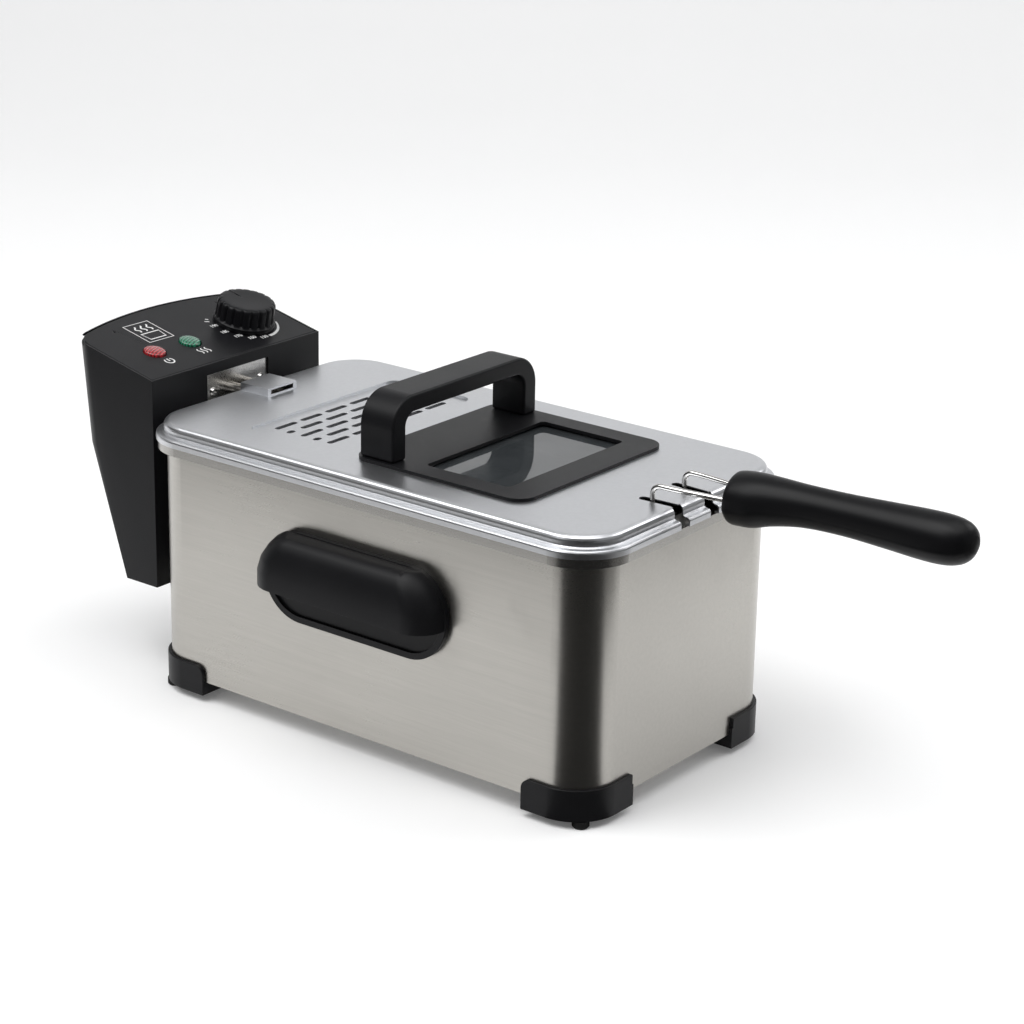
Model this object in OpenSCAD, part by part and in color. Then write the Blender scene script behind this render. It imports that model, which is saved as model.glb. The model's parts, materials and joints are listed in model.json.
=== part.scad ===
// Deep fryer with a lift-out oil tank, a lift-off control head that carries the
// heating element, a wire basket and a steel lid with a viewing window.
// The long axis is X: the control head is at -X and the basket grip at +X.

/* [Casing] */
// Length of the casing over its end walls
casing_l = 331; // [320:1:350]
// Width of the casing over its side walls
casing_w = 185; // [180:1:200]
// Radius of the casing's upright corners
casing_r = 26; // [24:1:30]
// Height of the casing's lower edge above the worktop
foot_h = 13; // [12:1:16]
// Height of the casing wall
casing_h = 147; // [140:1:155]
// Thickness of the steel sheet
sheet = 0.8; // [0.6:0.1:1.2]

/* [Tank] */
// Space between the casing and the tank on every side
tank_gap = 9; // [8:0.5:11]
// Height of the tank's floor above the worktop
tank_floor_z = 28; // [24:1:32]
// How far the tank's rim stands out past the casing
rim_out = 5.5; // [4:0.5:6]
// Height of the turned-down edge of the tank's rim
rim_drop = 5.5; // [4:0.5:7]

/* [Lid] */
// Height of the lid's flat top above the tank's rim
lid_rise = 11.7; // [11:0.1:14]
// How far the lid's lip stands out past the casing
lip_out = 6.5; // [6.5:0.5:8]
// Width of the two lid slots that the handle wires pass through
wire_slot_w = 5.6; // [5:0.2:7]
// Length of the window's clear glass
window_l = 60; // [50:1:66]
// Width of the window's clear glass
window_w = 110; // [90:1:116]
// Width of the lid handle's grip bar
lid_handle_w = 25; // [20:1:30]
// Height of the lid handle above the window frame
lid_handle_h = 37.5; // [32:0.5:45]

/* [Control head] */
// Width of the control head
head_w = 151; // [146:1:160]
// Depth of the control head at the top
head_depth = 78; // [76:1:90]
// Height of the control panel's front edge above the worktop
head_front_z = 189; // [187:1:196]
// Slope of the control panel
head_slope = 12.5; // [8:0.5:14]
// Diameter of the thermostat knob
knob_d = 40; // [32:1:44]
// Height of the thermostat knob
knob_h = 15.5; // [12:0.5:18]
// Diameter of each indicator lens
lens_d = 14; // [10:1:16]

/* [Basket] */
// Depth of the basket
basket_depth = 96; // [80:1:98]
// Diameter of the basket's frame and handle wires
wire_d = 3.2; // [3:0.2:4]
// Length of the basket grip
grip_l = 148.5; // [130:0.5:165]

/* [Carry handles] */
// Length of each carry handle
carry_l = 138; // [120:1:150]
// Height of each carry handle
carry_h = 56; // [52:1:62]
// How far each carry handle stands out from the casing
carry_out = 22; // [20:1:28]

/* [Hidden] */
$fn = 64;
eps = 0.01;

black = [0.13, 0.13, 0.14];
steel = [0.74, 0.73, 0.70];
satin = [0.80, 0.80, 0.82];

// Casing and tank
casing_top = foot_h + casing_h;
rim_top = casing_top + sheet;
tank_l = casing_l - 2 * tank_gap;
tank_w = casing_w - 2 * tank_gap;
tank_r = casing_r + 2;
tank_in_x = tank_l / 2 - sheet;

// Corner feet and pads
foot_wing = 43;
foot_wall = 2.4;
foot_top = foot_h + 10.5;
pad_h = 4.5;
pad_r = 5;
pad_inset = 9;

// Lid
lid_inset = 1.75;
lid_l = casing_l - 2 * lid_inset;
lid_w = casing_w - 2 * lid_inset;
lid_r = casing_r - lid_inset;
lid_top = rim_top + lid_rise;
lid_under = lid_top - sheet;
lip_reach = lip_out + lid_inset;

// Window frame, window and lid handle
frame_h = 2;
frame_border = 14.5;
frame_r = 12;
frame_front = 100.5;
window_front = frame_front - 21;
window_mid = window_front - window_l / 2;
frame_back = -25;
frame_l = frame_front - frame_back;
frame_mid = (frame_front + frame_back) / 2;
frame_w = window_w + 2 * frame_border;
frame_top = lid_top + frame_h;
glass_lap = 4;
glass_t = 3;
glass_top = lid_top - 1.5;
gasket_w = 2.5;
retainer_t = 2;
lid_handle_span = frame_w - 5;
lid_handle_t = 12;
lid_bar_t = 10.5;
lid_handle_x = -7.5;

// Steam grille in the lid
grille_l = 64;
grille_w = 136;
grille_r = 8;
grille_x = -76.5;
grille_sink = 1.5;
grille_rows = 5;
grille_row_pitch = 10.4;
grille_slot_l = 18;
grille_slot_w = 4;
grille_slot_pitch = 22.5;
filter_t = 2;

// Hump over the element's legs at the lid's rear edge
hump_w = 26;
hump_l = 22;
hump_h = 5;

// Control head
head_front_x = -(casing_l / 2 + 13.5);
head_bottom_z = 55.5;
head_waist_z = 138;
head_waist_depth = head_depth - 7;
head_foot_depth = head_depth - 34;
head_arc_r = 260;
head_wall = 2.5;
head_corner_r = 16;
panel_t = 2.5;
panel_inset = 1.2;
panel_l = head_depth / cos(head_slope);
knob_s = 33.5;
knob_y = 40;
lens_s = 29.5;
green_y = -13;
red_y = -44;
shaft_r = 3;
shaft_fit = 0.06;
lens_h = 1.8;
panel_screw_x = panel_l - 16;
panel_screw_y = 46;

// Bracket plate and element
bracket_w = 55;
bracket_bottom = 150;
bracket_top = 182;
bracket_t = 1.5;
element_r = 3.25;
leg_y = 8.5;
leg_z = 170;
leg_drop_x = -(tank_in_x - 13);
loop_z = 40;
loop_out = 50;
loop_front = 116;
loop_back = -92;
bulb_r = 2.5;

// Guide on the casing's rear wall and the safety switch that it works
guide_y = 32;
guide_t = 2;
guide_flange = 8;
guide_z = 70;
guide_h = 36;
guide_reach = 18;
blade_top = 108;
blade_x = head_front_x - 14;
plunger_r = 2;
plunger_fit = 0.08;
plunger_l = 10;
switch_h = 14;

// Reset button in the head's rear wall
reset_r = 3.5;
reset_fit = 0.1;
reset_z = 165;
reset_out = 1.2;

// Cord outlet in the head's rear wall
gland_z = 84;
gland_r = 5;
cord_hole_r = 3.2;

// Basket
basket_front = tank_in_x - 9.5;
basket_back = leg_drop_x + 17;
basket_l = basket_front - basket_back;
basket_mid = (basket_front + basket_back) / 2;
basket_w = 140;
basket_r = 24;
basket_wall = 1.2;
basket_top = loop_z + 11 + basket_depth;
basket_bottom = basket_top - basket_depth;
wire_r = wire_d / 2;
wire_y = 15.5;
wire_x = tank_in_x - 5.7;
wire_fit = 0.05;
wire_foot_z = basket_top - 28;
wire_rise_z = lid_top + 9.2;
wire_bend = 5;
wire_toe = 3;
wire_run = 66;
bracket_eye_r = 4;
slot_back = 5.7;

// Basket grip, from its root to its tip: distance, half width, half height, height
grip_root_x = wire_x + 44;
grip_tip_x = grip_root_x + grip_l;
grip_sections = [
    [0, 12.5, 12, lid_top + 8.1],
    [0.03, 16, 15, lid_top + 8.3],
    [0.10, 16.8, 15.8, lid_top + 9],
    [0.31, 11.7, 11.8, lid_top + 13.2],
    [0.55, 11.9, 11.8, lid_top + 14],
    [0.85, 14, 14, lid_top + 14.3],
    [0.955, 11.6, 11.6, lid_top + 14.9],
    [1, 5.5, 5.5, lid_top + 15.3]
];

// Carry handles
carry_z = foot_h + 89;
carry_plate_t = 2.2;
carry_rim_w = 4;
carry_rim_t = 4;
carry_lip_z = carry_z - 5;
carry_end_r = 18;
carry_wall = 2.6;
carry_screw_x = 30;

// The origin is on the worktop under the middle of the whole object
head_back_x = head_front_x - head_depth;
origin_x = -(head_back_x + grip_tip_x) / 2;

// ---------------------------------------------------------------- shapes

// Rounded rectangle about the origin
module rounded_rect(l, w, r) {
    union() {
        square([l - 2 * r, w], center = true);
        square([l, w - 2 * r], center = true);
        for (sx = [-1, 1], sy = [-1, 1])
            translate([sx * (l / 2 - r), sy * (w / 2 - r)]) circle(r);
    }
}

// Slot shape about the origin: a rectangle with a half circle at each end
module stadium(l, h) {
    square([l - h, h], center = true);
    for (sx = [-1, 1])
        translate([sx * (l - h) / 2, 0]) circle(h / 2);
}

module rounded_slab(l, w, r, h) {
    linear_extrude(h) rounded_rect(l, w, r);
}

module rounded_tube(l, w, r, wall, h) {
    linear_extrude(h) difference() {
        rounded_rect(l, w, r);
        rounded_rect(l - 2 * wall, w - 2 * wall, r - wall);
    }
}

// Sweeps a profile round a rounded rectangle; the profile's x points outwards
module swept_ring(l, w, r) {
    for (mx = [0, 1], my = [0, 1])
        mirror([mx, 0, 0]) mirror([0, my, 0])
            translate([l / 2 - r, w / 2 - r, 0])
                rotate_extrude(angle = 90) translate([r, 0]) children();
    for (my = [0, 1])
        mirror([0, my, 0]) translate([-(l / 2 - r), w / 2, 0])
            rotate([90, 0, 90]) linear_extrude(l - 2 * r) children();
    for (mx = [0, 1])
        mirror([mx, 0, 0]) translate([l / 2, w / 2 - r, 0])
            rotate([90, 0, 0]) linear_extrude(w - 2 * r) children();
}

function unit(v) = v / norm(v);

// Turns the child so that its x, y and z axes lie along u, v and w
module along(u, v, w) {
    multmatrix([[u.x, v.x, w.x, 0], [u.y, v.y, w.y, 0], [u.z, v.z, w.z, 0], [0, 0, 0, 1]])
        children();
}

// Straight bar along direction w, between two distances from a corner of the path
module rod(corner, w, axis, start, end, r) {
    u = unit(cross(w, axis));
    translate(corner) along(u, cross(w, u), w)
        translate([0, 0, start]) cylinder(r = r, h = end - start);
}

// Bend where a path turns from direction d to direction e at a corner
module rod_bend(corner, d, e, bend, r) {
    n = unit(e - (d * e) * d);
    turn = acos(d * e);
    translate(corner) along(-n, d, cross(-n, d)) translate([-bend, -bend * tan(turn / 2), 0])
        rotate_extrude(angle = turn) translate([bend, 0]) circle(r);
}

// Round bar along a path of points, with the same bend at every corner
module bent_rod(path, bend, r) {
    last = len(path) - 1;
    dirs = [for (i = [0:last - 1]) unit(path[i + 1] - path[i])];
    trims = [for (i = [0:last])
        i == 0 || i == last ? 0 : bend * tan(acos(dirs[i - 1] * dirs[i]) / 2)];
    rod(path[1], dirs[0], cross(dirs[0], dirs[1]), -norm(path[1] - path[0]), -trims[1], r);
    for (i = [1:last - 1])
        rod(path[i], dirs[i], cross(dirs[i - 1], dirs[i]),
            trims[i], norm(path[i + 1] - path[i]) - trims[i + 1], r);
    for (i = [1:last - 1])
        rod_bend(path[i], dirs[i - 1], dirs[i], bend, r);
}

// Ring of round bar along a rounded rectangle
module bar_ring(l, w, r, bar) {
    swept_ring(l, w, r) circle(bar);
}

module pan_screw(r, head_r, h) {
    cylinder(r = r, h = h);
    difference() {
        translate([0, 0, h]) cylinder(r1 = head_r, r2 = head_r * 0.7, h = head_r * 0.55);
        for (a = [0, 90])
            rotate([0, 0, a]) translate([-head_r, -0.4, h + head_r * 0.3])
                cube([2 * head_r, 0.8, head_r]);
    }
}

// Frame of the sloped panel: x runs up the slope from its front edge, z stands off it
module on_panel() {
    translate([head_front_x, 0, head_front_z]) rotate([0, 0, 180]) rotate([0, -head_slope, 0])
        mirror([0, 1, 0]) children();
}

module placed() {
    translate([origin_x, 0, 0]) children();
}

// ---------------------------------------------------------------- casing

module casing_shell() {
    color(steel) placed() difference() {
        union() {
            translate([0, 0, foot_h])
                rounded_tube(casing_l, casing_w, casing_r, sheet, casing_h);
            translate([0, 0, foot_h])
                rounded_tube(casing_l - sheet, casing_w - sheet, casing_r - sheet / 2, 6, sheet);
        }
        for (side = [0, 1])
            mirror([0, side, 0]) carry_screw_places() cylinder(r = 1.5, h = 12);
    }
}

module base_plate() {
    color(steel) placed() difference() {
        translate([0, 0, foot_h + sheet])
            rounded_slab(casing_l - 3, casing_w - 3, casing_r - 1.5, sheet);
        for (ix = [-3:3], iy = [-1:1])
            translate([ix * 32, iy * 40, foot_h])
                linear_extrude(3 * sheet) rounded_rect(18, 5, 2.4);
    }
}

// Corner foot at +X, -Y: two wings up the casing and a pad under its corner
module corner_foot() {
    wing_x = casing_l / 2 - foot_wing;
    wing_y = casing_w / 2 - foot_wing;
    outer_l = casing_l + 2 * foot_wall;
    outer_w = casing_w + 2 * foot_wall;
    difference() {
        translate([0, 0, pad_h])
            rounded_slab(outer_l, outer_w, casing_r + foot_wall, foot_top - pad_h);
        translate([0, 0, foot_h])
            rounded_slab(casing_l, casing_w, casing_r, foot_top);
        translate([wing_x - outer_l, -outer_w, -eps]) cube([outer_l, 2 * outer_w, 2 * foot_top]);
        translate([-outer_l, -wing_y, -eps]) cube([2 * outer_l, 2 * outer_w, 2 * foot_top]);
        translate([0, 0, foot_h / 2 + pad_h / 2])
            rounded_slab(casing_l - 16, casing_w - 16, casing_r - 8, foot_h);
        translate([wing_x, 0, foot_top]) wing_corner();
        translate([0, -wing_y, foot_top]) rotate([0, 0, 90]) wing_corner();
        translate([casing_l / 2 - pad_inset, -(casing_w / 2 - pad_inset), 0])
            cylinder(r = pad_r - 1.4, h = pad_h + 4);
    }
}

// Cuts away what lies outside the rounded upper corner at the end of a foot's wing
module wing_corner() {
    r = 6;
    translate([0, casing_l, 0]) rotate([90, 0, 0]) linear_extrude(2 * casing_l) difference() {
        translate([-1, -r]) square([r + 1, r + 1]);
        translate([r, -r]) circle(r);
    }
}

module foot_front_left() {
    color(black) placed() corner_foot();
}

module foot_front_right() {
    color(black) placed() mirror([0, 1, 0]) corner_foot();
}

module foot_rear_left() {
    color(black) placed() mirror([1, 0, 0]) corner_foot();
}

module foot_rear_right() {
    color(black) placed() mirror([1, 0, 0]) mirror([0, 1, 0]) corner_foot();
}

module rubber_pads() {
    color([0.08, 0.08, 0.08]) placed()
        for (sx = [-1, 1], sy = [-1, 1])
            translate([sx * (casing_l / 2 - pad_inset), sy * (casing_w / 2 - pad_inset), 0]) {
                cylinder(r1 = pad_r - 0.8, r2 = pad_r, h = 1);
                translate([0, 0, 1]) cylinder(r = pad_r, h = pad_h - 1);
                cylinder(r = pad_r - 1.5, h = pad_h + 3.5);
            }
}

// Stadium outline of the carry handle, standing in the X-Z plane at the -Y wall
module carry_outline(grow, depth) {
    translate([0, -casing_w / 2, carry_z]) rotate([90, 0, 0])
        linear_extrude(depth) stadium(carry_l + 2 * grow, carry_h + 2 * grow);
}

// Half length of the handle's outline at a height above its middle
function carry_half(z, grow) =
    let (r = carry_h / 2 + grow)
    carry_l / 2 - carry_h / 2 + sqrt(r * r - pow(min(z, r - 0.5), 2));

// Plan slices of the bulging hood, which get shallower towards the top along a quarter ellipse
module hood_slices(grow) {
    steps = 6;
    lip = carry_lip_z - carry_z;
    rise = carry_h / 2 + grow - lip - 2;
    for (i = [0:steps])
        let (z = lip + rise * sin(90 * i / steps),
             reach = carry_rim_t + (carry_out + grow - carry_rim_t) * pow(cos(85 * i / steps), 0.7),
             half = carry_half(z, grow) - 1)
            translate([0, -casing_w / 2, carry_z + z]) linear_extrude(1.5)
                intersection() {
                    rounded_rect(2 * half, 2 * reach, min(reach - 0.5, carry_end_r), $fn = 32);
                    translate([-half, -reach]) square([2 * half, reach - 1]);
                }
}

// Back plate of the carry handle with a raised rim
module carry_plate() {
    difference() {
        carry_outline(0, carry_rim_t);
        translate([0, -carry_plate_t, 0]) carry_outline(-carry_rim_w, carry_rim_t);
        carry_screw_places() cylinder(r = 1.5, h = 12);
    }
}

// Hood that fingers reach up behind, open at the bottom and against the plate
module carry_hood() {
    difference() {
        hull() hood_slices(0);
        hull() {
            hood_slices(-carry_wall);
            translate([0, 0, -carry_h]) hood_slices(-carry_wall);
        }
        translate([-carry_l, -casing_w / 2 - carry_rim_t, 0])
            cube([2 * carry_l, 2 * carry_out, 2 * carry_z]);
    }
}

// Screws run outwards from inside the casing into the handle's plate
module carry_screw_places() {
    for (sx = [-1, 1])
        translate([sx * carry_screw_x, -casing_w / 2 + sheet + 1, carry_z + 12])
            rotate([90, 0, 0]) translate([0, 0, -1]) children();
}

module carry_plate_left() {
    color(black) placed() carry_plate();
}

module carry_plate_right() {
    color(black) placed() mirror([0, 1, 0]) carry_plate();
}

module carry_hood_left() {
    color(black) placed() carry_hood();
}

module carry_hood_right() {
    color(black) placed() mirror([0, 1, 0]) carry_hood();
}

module carry_handle_screws() {
    color(satin) placed()
        for (side = [0, 1])
            mirror([0, side, 0])
                for (sx = [-1, 1])
                    translate([sx * carry_screw_x, -casing_w / 2 + sheet, carry_z + 12])
                        rotate([90, 0, 0]) {
                            translate([0, 0, -1.4]) cylinder(r = 2.8, h = 1.4);
                            cylinder(r = 1.5, h = sheet + carry_plate_t - 0.3);
                        }
}

// Steel guide on the rear wall: two tees hold the head, the middle blade works its switch
module head_guide() {
    wall_x = -casing_l / 2;
    color(satin) placed() {
        translate([wall_x - 1.5, -guide_y - 12, guide_z - 4])
            cube([1.5, 2 * guide_y + 24, guide_h + 8]);
        for (sy = [-1, 1]) {
            translate([wall_x - guide_reach, sy * guide_y - guide_t / 2, guide_z])
                cube([guide_reach - 1, guide_t, guide_h]);
            translate([wall_x - guide_reach, sy * guide_y - guide_flange / 2, guide_z])
                cube([guide_t, guide_flange, guide_h]);
        }
        translate([blade_x - 4, -guide_t / 2, guide_z])
            cube([wall_x - blade_x + 3, guide_t, 20]);
        translate([blade_x - 4, -guide_t / 2, guide_z])
            cube([8, guide_t, blade_top - guide_z]);
    }
}

// ---------------------------------------------------------------- tank

module oil_tank() {
    bend = 10;
    hem = 2.4;
    color(satin) placed() {
        translate([0, 0, tank_floor_z + bend])
            rounded_tube(tank_l, tank_w, tank_r, sheet, rim_top - tank_floor_z - bend);
        translate([0, 0, tank_floor_z])
            rounded_slab(tank_l - 2 * bend, tank_w - 2 * bend, tank_r - bend, sheet);
        translate([0, 0, tank_floor_z + bend])
            swept_ring(tank_l - 2 * bend, tank_w - 2 * bend, tank_r - bend)
                intersection() {
                    difference() {
                        circle(bend);
                        circle(bend - sheet);
                    }
                    translate([0, -bend]) square(bend);
                }
        translate([0, 0, casing_top]) linear_extrude(sheet) difference() {
            rounded_rect(casing_l + 2 * rim_out, casing_w + 2 * rim_out, casing_r + rim_out);
            rounded_rect(tank_l - sheet, tank_w - sheet, tank_r - sheet / 2);
        }
        translate([0, 0, rim_top - rim_drop])
            rounded_tube(casing_l + 2 * rim_out, casing_w + 2 * rim_out, casing_r + rim_out,
                         hem, rim_drop);
        for (mark = [70, 100])
            translate([-18, tank_w / 2 - sheet - 0.6, mark]) cube([36, 0.8, 1.5]);
    }
}

// ---------------------------------------------------------------- control head

// Plan of the head: flat front, bowed rear, rounded rear corners
module head_plan(depth, inset) {
    r = head_corner_r - inset;
    offset(r) offset(delta = -r) intersection() {
        translate([-depth + inset, -head_w / 2 + inset])
            square([depth - 2 * inset, head_w - 2 * inset]);
        translate([-depth + head_arc_r, 0]) circle(head_arc_r - inset, $fn = 180);
    }
    translate([-depth * 0.6, -head_w / 2 + inset])
        square([depth * 0.6 - inset, head_w - 2 * inset]);
}

module head_body(inset) {
    slice = 0.1;
    top = head_front_z + head_depth * tan(head_slope) + 1;
    translate([head_front_x, 0, 0]) {
        hull() {
            translate([0, 0, head_bottom_z + inset])
                linear_extrude(slice) head_plan(head_foot_depth, inset, $fn = 32);
            translate([0, 0, head_waist_z])
                linear_extrude(slice) head_plan(head_waist_depth, inset, $fn = 32);
        }
        hull() {
            translate([0, 0, head_waist_z])
                linear_extrude(slice) head_plan(head_waist_depth, inset, $fn = 32);
            translate([0, 0, top])
                linear_extrude(slice) head_plan(head_depth, inset, $fn = 32);
        }
    }
}

// Everything on the upper side of a plane parallel to the panel, sunk by depth
module above_panel(depth) {
    on_panel() translate([-50, -head_w, -depth]) cube([panel_l + 100, 2 * head_w, 60]);
}

module head_housing() {
    pocket = bracket_t + 1.5;
    color(black) placed() difference() {
        head_body(0);
        difference() {
            head_body(head_wall);
            translate([head_front_x - pocket - 2, -bracket_w / 2 - 3, bracket_bottom - 4])
                cube([pocket + 2, bracket_w + 6, bracket_top - bracket_bottom + 8]);
        }
        above_panel(0);
        on_panel() translate([0, 0, -panel_t])
            linear_extrude(10) panel_outline(panel_inset);
        translate([head_front_x - pocket, -bracket_w / 2 - 0.3, bracket_bottom])
            cube([pocket + 1, bracket_w + 0.6, bracket_top - bracket_bottom + 0.3]);
        for (sy = [-1, 1]) {
            translate([head_front_x - 8, sy * guide_y - guide_flange / 2 - 1, 0])
                cube([8 - head_wall / 2, guide_flange + 2, guide_z + guide_h + 0.4]);
            translate([head_front_x - 8, sy * guide_y - guide_t / 2 - 1, 0])
                cube([9, guide_t + 2, guide_z + guide_h + 0.4]);
        }
        translate([blade_x - 6, -guide_t / 2 - 1, 0])
            cube([head_front_x - blade_x + 7, guide_t + 2, guide_z + 22]);
        for (sy = [-1, 1])
            translate([head_front_x - 5, sy * leg_y, leg_z]) rotate([0, 90, 0])
                cylinder(r = element_r + 0.3, h = 10);
        translate([head_front_x - 5, 0, leg_z]) rotate([0, 90, 0]) cylinder(r = 1.6, h = 10);
        reset_place(-20) cylinder(r = reset_r + reset_fit, h = 40);
        gland_place(-10) cylinder(r = gland_r + 0.1, h = 20);
        for (sy = [-1, 1])
            translate([head_front_x - 8, sy * (bracket_w / 2 - 6), leg_z]) rotate([0, 90, 0])
                cylinder(r = 1.7, h = 10);
        for (iz = [0:4])
            translate([head_front_x - head_depth, -24, 140 - iz * 9])
                cube([head_depth / 2, 48, 3.5]);
    }
}

// Outline of the sloped panel, in the panel's own frame
module panel_outline(inset) {
    intersection() {
        translate([inset, -head_w / 2 + inset]) square([panel_l - 2 * inset, head_w - 2 * inset]);
        translate([panel_l - head_arc_r, 0]) circle(head_arc_r - inset, $fn = 180);
    }
}

module control_panel() {
    color(black) placed() intersection() {
        on_panel() translate([0, 0, -panel_t]) difference() {
            linear_extrude(panel_t) panel_outline(panel_inset + 0.15);
            translate([knob_s, knob_y, -1]) cylinder(r = shaft_r + shaft_fit + 1, h = 5);
            for (y = [green_y, red_y])
                translate([lens_s, y, -1]) cylinder(r = lens_d / 2 + 0.1, h = 5);
            for (sy = [-1, 1])
                translate([panel_screw_x, sy * panel_screw_y, -1]) cylinder(r = 1.2, h = 5);
        }
        head_body(panel_inset);
    }
}

module thermostat_body() {
    color([0.75, 0.72, 0.62]) placed() on_panel() difference() {
        union() {
            translate([knob_s - 16, knob_y - 15, -panel_t - 22]) cube([32, 30, 18]);
            translate([knob_s, knob_y, -panel_t - 5]) cylinder(r = 7, h = 5);
            translate([knob_s - 16, knob_y - 15, -panel_t - 30]) cube([4, 30, 9]);
        }
        translate([knob_s, knob_y, -panel_t - 16]) cylinder(r = shaft_r + shaft_fit, h = 20);
    }
}

module thermostat_bulb() {
    tube_r = 1.1;
    color([0.72, 0.45, 0.2]) placed() {
        bent_rod([[head_front_x - 22, 0, leg_z], [leg_drop_x, 0, leg_z],
                  [leg_drop_x, 0, 64]], 8, tube_r);
        translate([leg_drop_x, 0, 50]) cylinder(r = bulb_r, h = 45);
    }
}

module lens(y) {
    on_panel() translate([lens_s, y, -panel_t]) {
        cylinder(r = lens_d / 2, h = panel_t);
        translate([0, 0, panel_t]) cylinder(r1 = lens_d / 2, r2 = lens_d / 2 - 2, h = lens_h);
    }
}

module lens_red() {
    color([0.8, 0.1, 0.12]) placed() lens(red_y);
}

module lens_green() {
    color([0.1, 0.6, 0.4]) placed() lens(green_y);
}

module lamp_bodies() {
    color([0.9, 0.9, 0.85]) placed() on_panel()
        for (y = [green_y, red_y])
            translate([lens_s, y, -panel_t - 16]) {
                cylinder(r = 5, h = 16);
                for (dx = [-2.5, 2.5])
                    translate([dx - 0.4, -1.2, -6]) cube([0.8, 2.4, 6.5]);
            }
}

module safety_switch() {
    body_z = blade_top + plunger_l - 4;
    color([0.2, 0.2, 0.22]) placed() difference() {
        translate([blade_x - 10, -7, body_z]) cube([20, 14, switch_h]);
        translate([blade_x, 0, body_z - 1]) cylinder(r = plunger_r + plunger_fit, h = 10);
    }
}

module switch_plunger() {
    color([0.8, 0.25, 0.2]) placed()
        translate([blade_x, 0, blade_top + 0.3]) cylinder(r = plunger_r, h = plunger_l);
}

module terminal_block() {
    color([0.85, 0.83, 0.75]) placed()
        translate([head_front_x - 48, -62, 120]) difference() {
            cube([16, 34, 18]);
            for (i = [0:2])
                translate([8, 6 + i * 11, 9]) cylinder(r = 2.6, h = 10);
        }
}

module bracket_plate() {
    color(steel) placed() difference() {
        translate([head_front_x - bracket_t - 1.5, -bracket_w / 2, bracket_bottom + 0.5])
            cube([bracket_t, bracket_w, bracket_top - bracket_bottom - 0.5]);
        for (sy = [-1, 1]) {
            translate([head_front_x - 10, sy * leg_y, leg_z]) rotate([0, 90, 0])
                cylinder(r = element_r + 0.05, h = 20);
            translate([head_front_x - 10, sy * (bracket_w / 2 - 6), leg_z]) rotate([0, 90, 0])
                cylinder(r = 1.7, h = 20);
        }
        translate([head_front_x - 10, 0, leg_z]) rotate([0, 90, 0]) cylinder(r = 1.1, h = 20);
    }
}

module bracket_screws() {
    color(satin) placed()
        for (sy = [-1, 1])
            translate([head_front_x - bracket_t - 3.5, sy * (bracket_w / 2 - 6), leg_z])
                rotate([0, 90, 0]) pan_screw(1.6, 3, bracket_t + 2);
}

// One tube: down from the head, out to a side, forward and back twice, and up again
module heating_element() {
    spacing = (loop_out - leg_y) / 2;
    half = [
        [head_front_x - 16, leg_y, leg_z],
        [leg_drop_x, leg_y, leg_z],
        [leg_drop_x, leg_y, loop_z],
        [leg_drop_x, loop_out, loop_z],
        [loop_front, loop_out, loop_z],
        [loop_front, leg_y, loop_z],
        [loop_back, leg_y, loop_z],
        [loop_back, 0, loop_z]
    ];
    color([0.35, 0.34, 0.33]) placed()
        for (side = [0, 1])
            mirror([0, side, 0]) bent_rod(half, leg_y - 0.2, element_r);
}

// Perforated guard that keeps the basket off the upright legs
module element_guard() {
    color(satin) placed() difference() {
        union() {
            translate([leg_drop_x + element_r, -26, 58]) cube([sheet, 52, 92]);
            for (sy = [0, 1])
                mirror([0, sy, 0]) translate([leg_drop_x - 4, 26, 58])
                    cube([4 + element_r + sheet, sheet, 92]);
        }
        for (iy = [-3:3], iz = [0:8])
            translate([leg_drop_x, iy * 7, 66 + iz * 9.5]) rotate([0, 90, 0])
                cylinder(r = 2, h = 10, $fn = 24);
    }
}

// On the head's leaning rear wall, square to it
module gland_place(lift) {
    lean = (head_waist_depth - head_foot_depth) / (head_waist_z - head_bottom_z);
    depth = head_foot_depth + lean * (gland_z - head_bottom_z);
    translate([head_front_x - depth, 0, gland_z]) rotate([0, -90 - atan(lean), 0])
        translate([0, 0, lift]) children();
}

module cord_gland() {
    color([0.1, 0.1, 0.1]) placed() difference() {
        union() {
            gland_place(-5) cylinder(r = gland_r, h = 6);
            gland_place(0.3) cylinder(r1 = gland_r + 2.5, r2 = gland_r + 1, h = 4);
        }
        gland_place(-10) cylinder(r = cord_hole_r, h = 30);
    }
}

module housing_screws() {
    color(satin) placed() on_panel()
        for (sy = [-1, 1])
            translate([panel_screw_x, sy * panel_screw_y, -panel_t - 6]) {
                cylinder(r = 1.2, h = 6 + panel_t);
                cylinder(r = 2.4, h = 1.5);
            }
}

// ---------------------------------------------------------------- knob and buttons

module knob() {
    flutes = 20;
    skirt_h = 3;
    r = knob_d / 2;
    color(black) placed() on_panel() translate([knob_s, knob_y, 0.6]) difference() {
        union() {
            cylinder(r = r, h = skirt_h);
            translate([0, 0, skirt_h]) cylinder(r = r - 0.8, h = knob_h - skirt_h);
        }
        for (i = [0:flutes - 1])
            rotate([0, 0, i * 360 / flutes + 180 / flutes])
                translate([r + 0.9, 0, skirt_h + 0.6]) cylinder(r = 2.3, h = knob_h);
        translate([0, 0, -1]) cylinder(r = shaft_r, h = knob_h - 3);
        translate([r * 0.45, -0.6, knob_h - 0.8]) cube([r * 0.4, 1.2, 2]);
    }
}

module knob_shaft() {
    color(satin) placed() on_panel()
        translate([knob_s, knob_y, -panel_t - 15]) cylinder(r = shaft_r, h = panel_t + 15 + knob_h - 4);
}

module reset_place(lift) {
    translate([head_front_x - head_depth + 2, 30, reset_z]) rotate([0, -90, 0])
        translate([0, 0, lift]) children();
}

module reset_button() {
    color([0.7, 0.12, 0.1]) placed() reset_place(-8) cylinder(r = reset_r, h = 8 + reset_out);
}

// ---------------------------------------------------------------- basket

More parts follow.
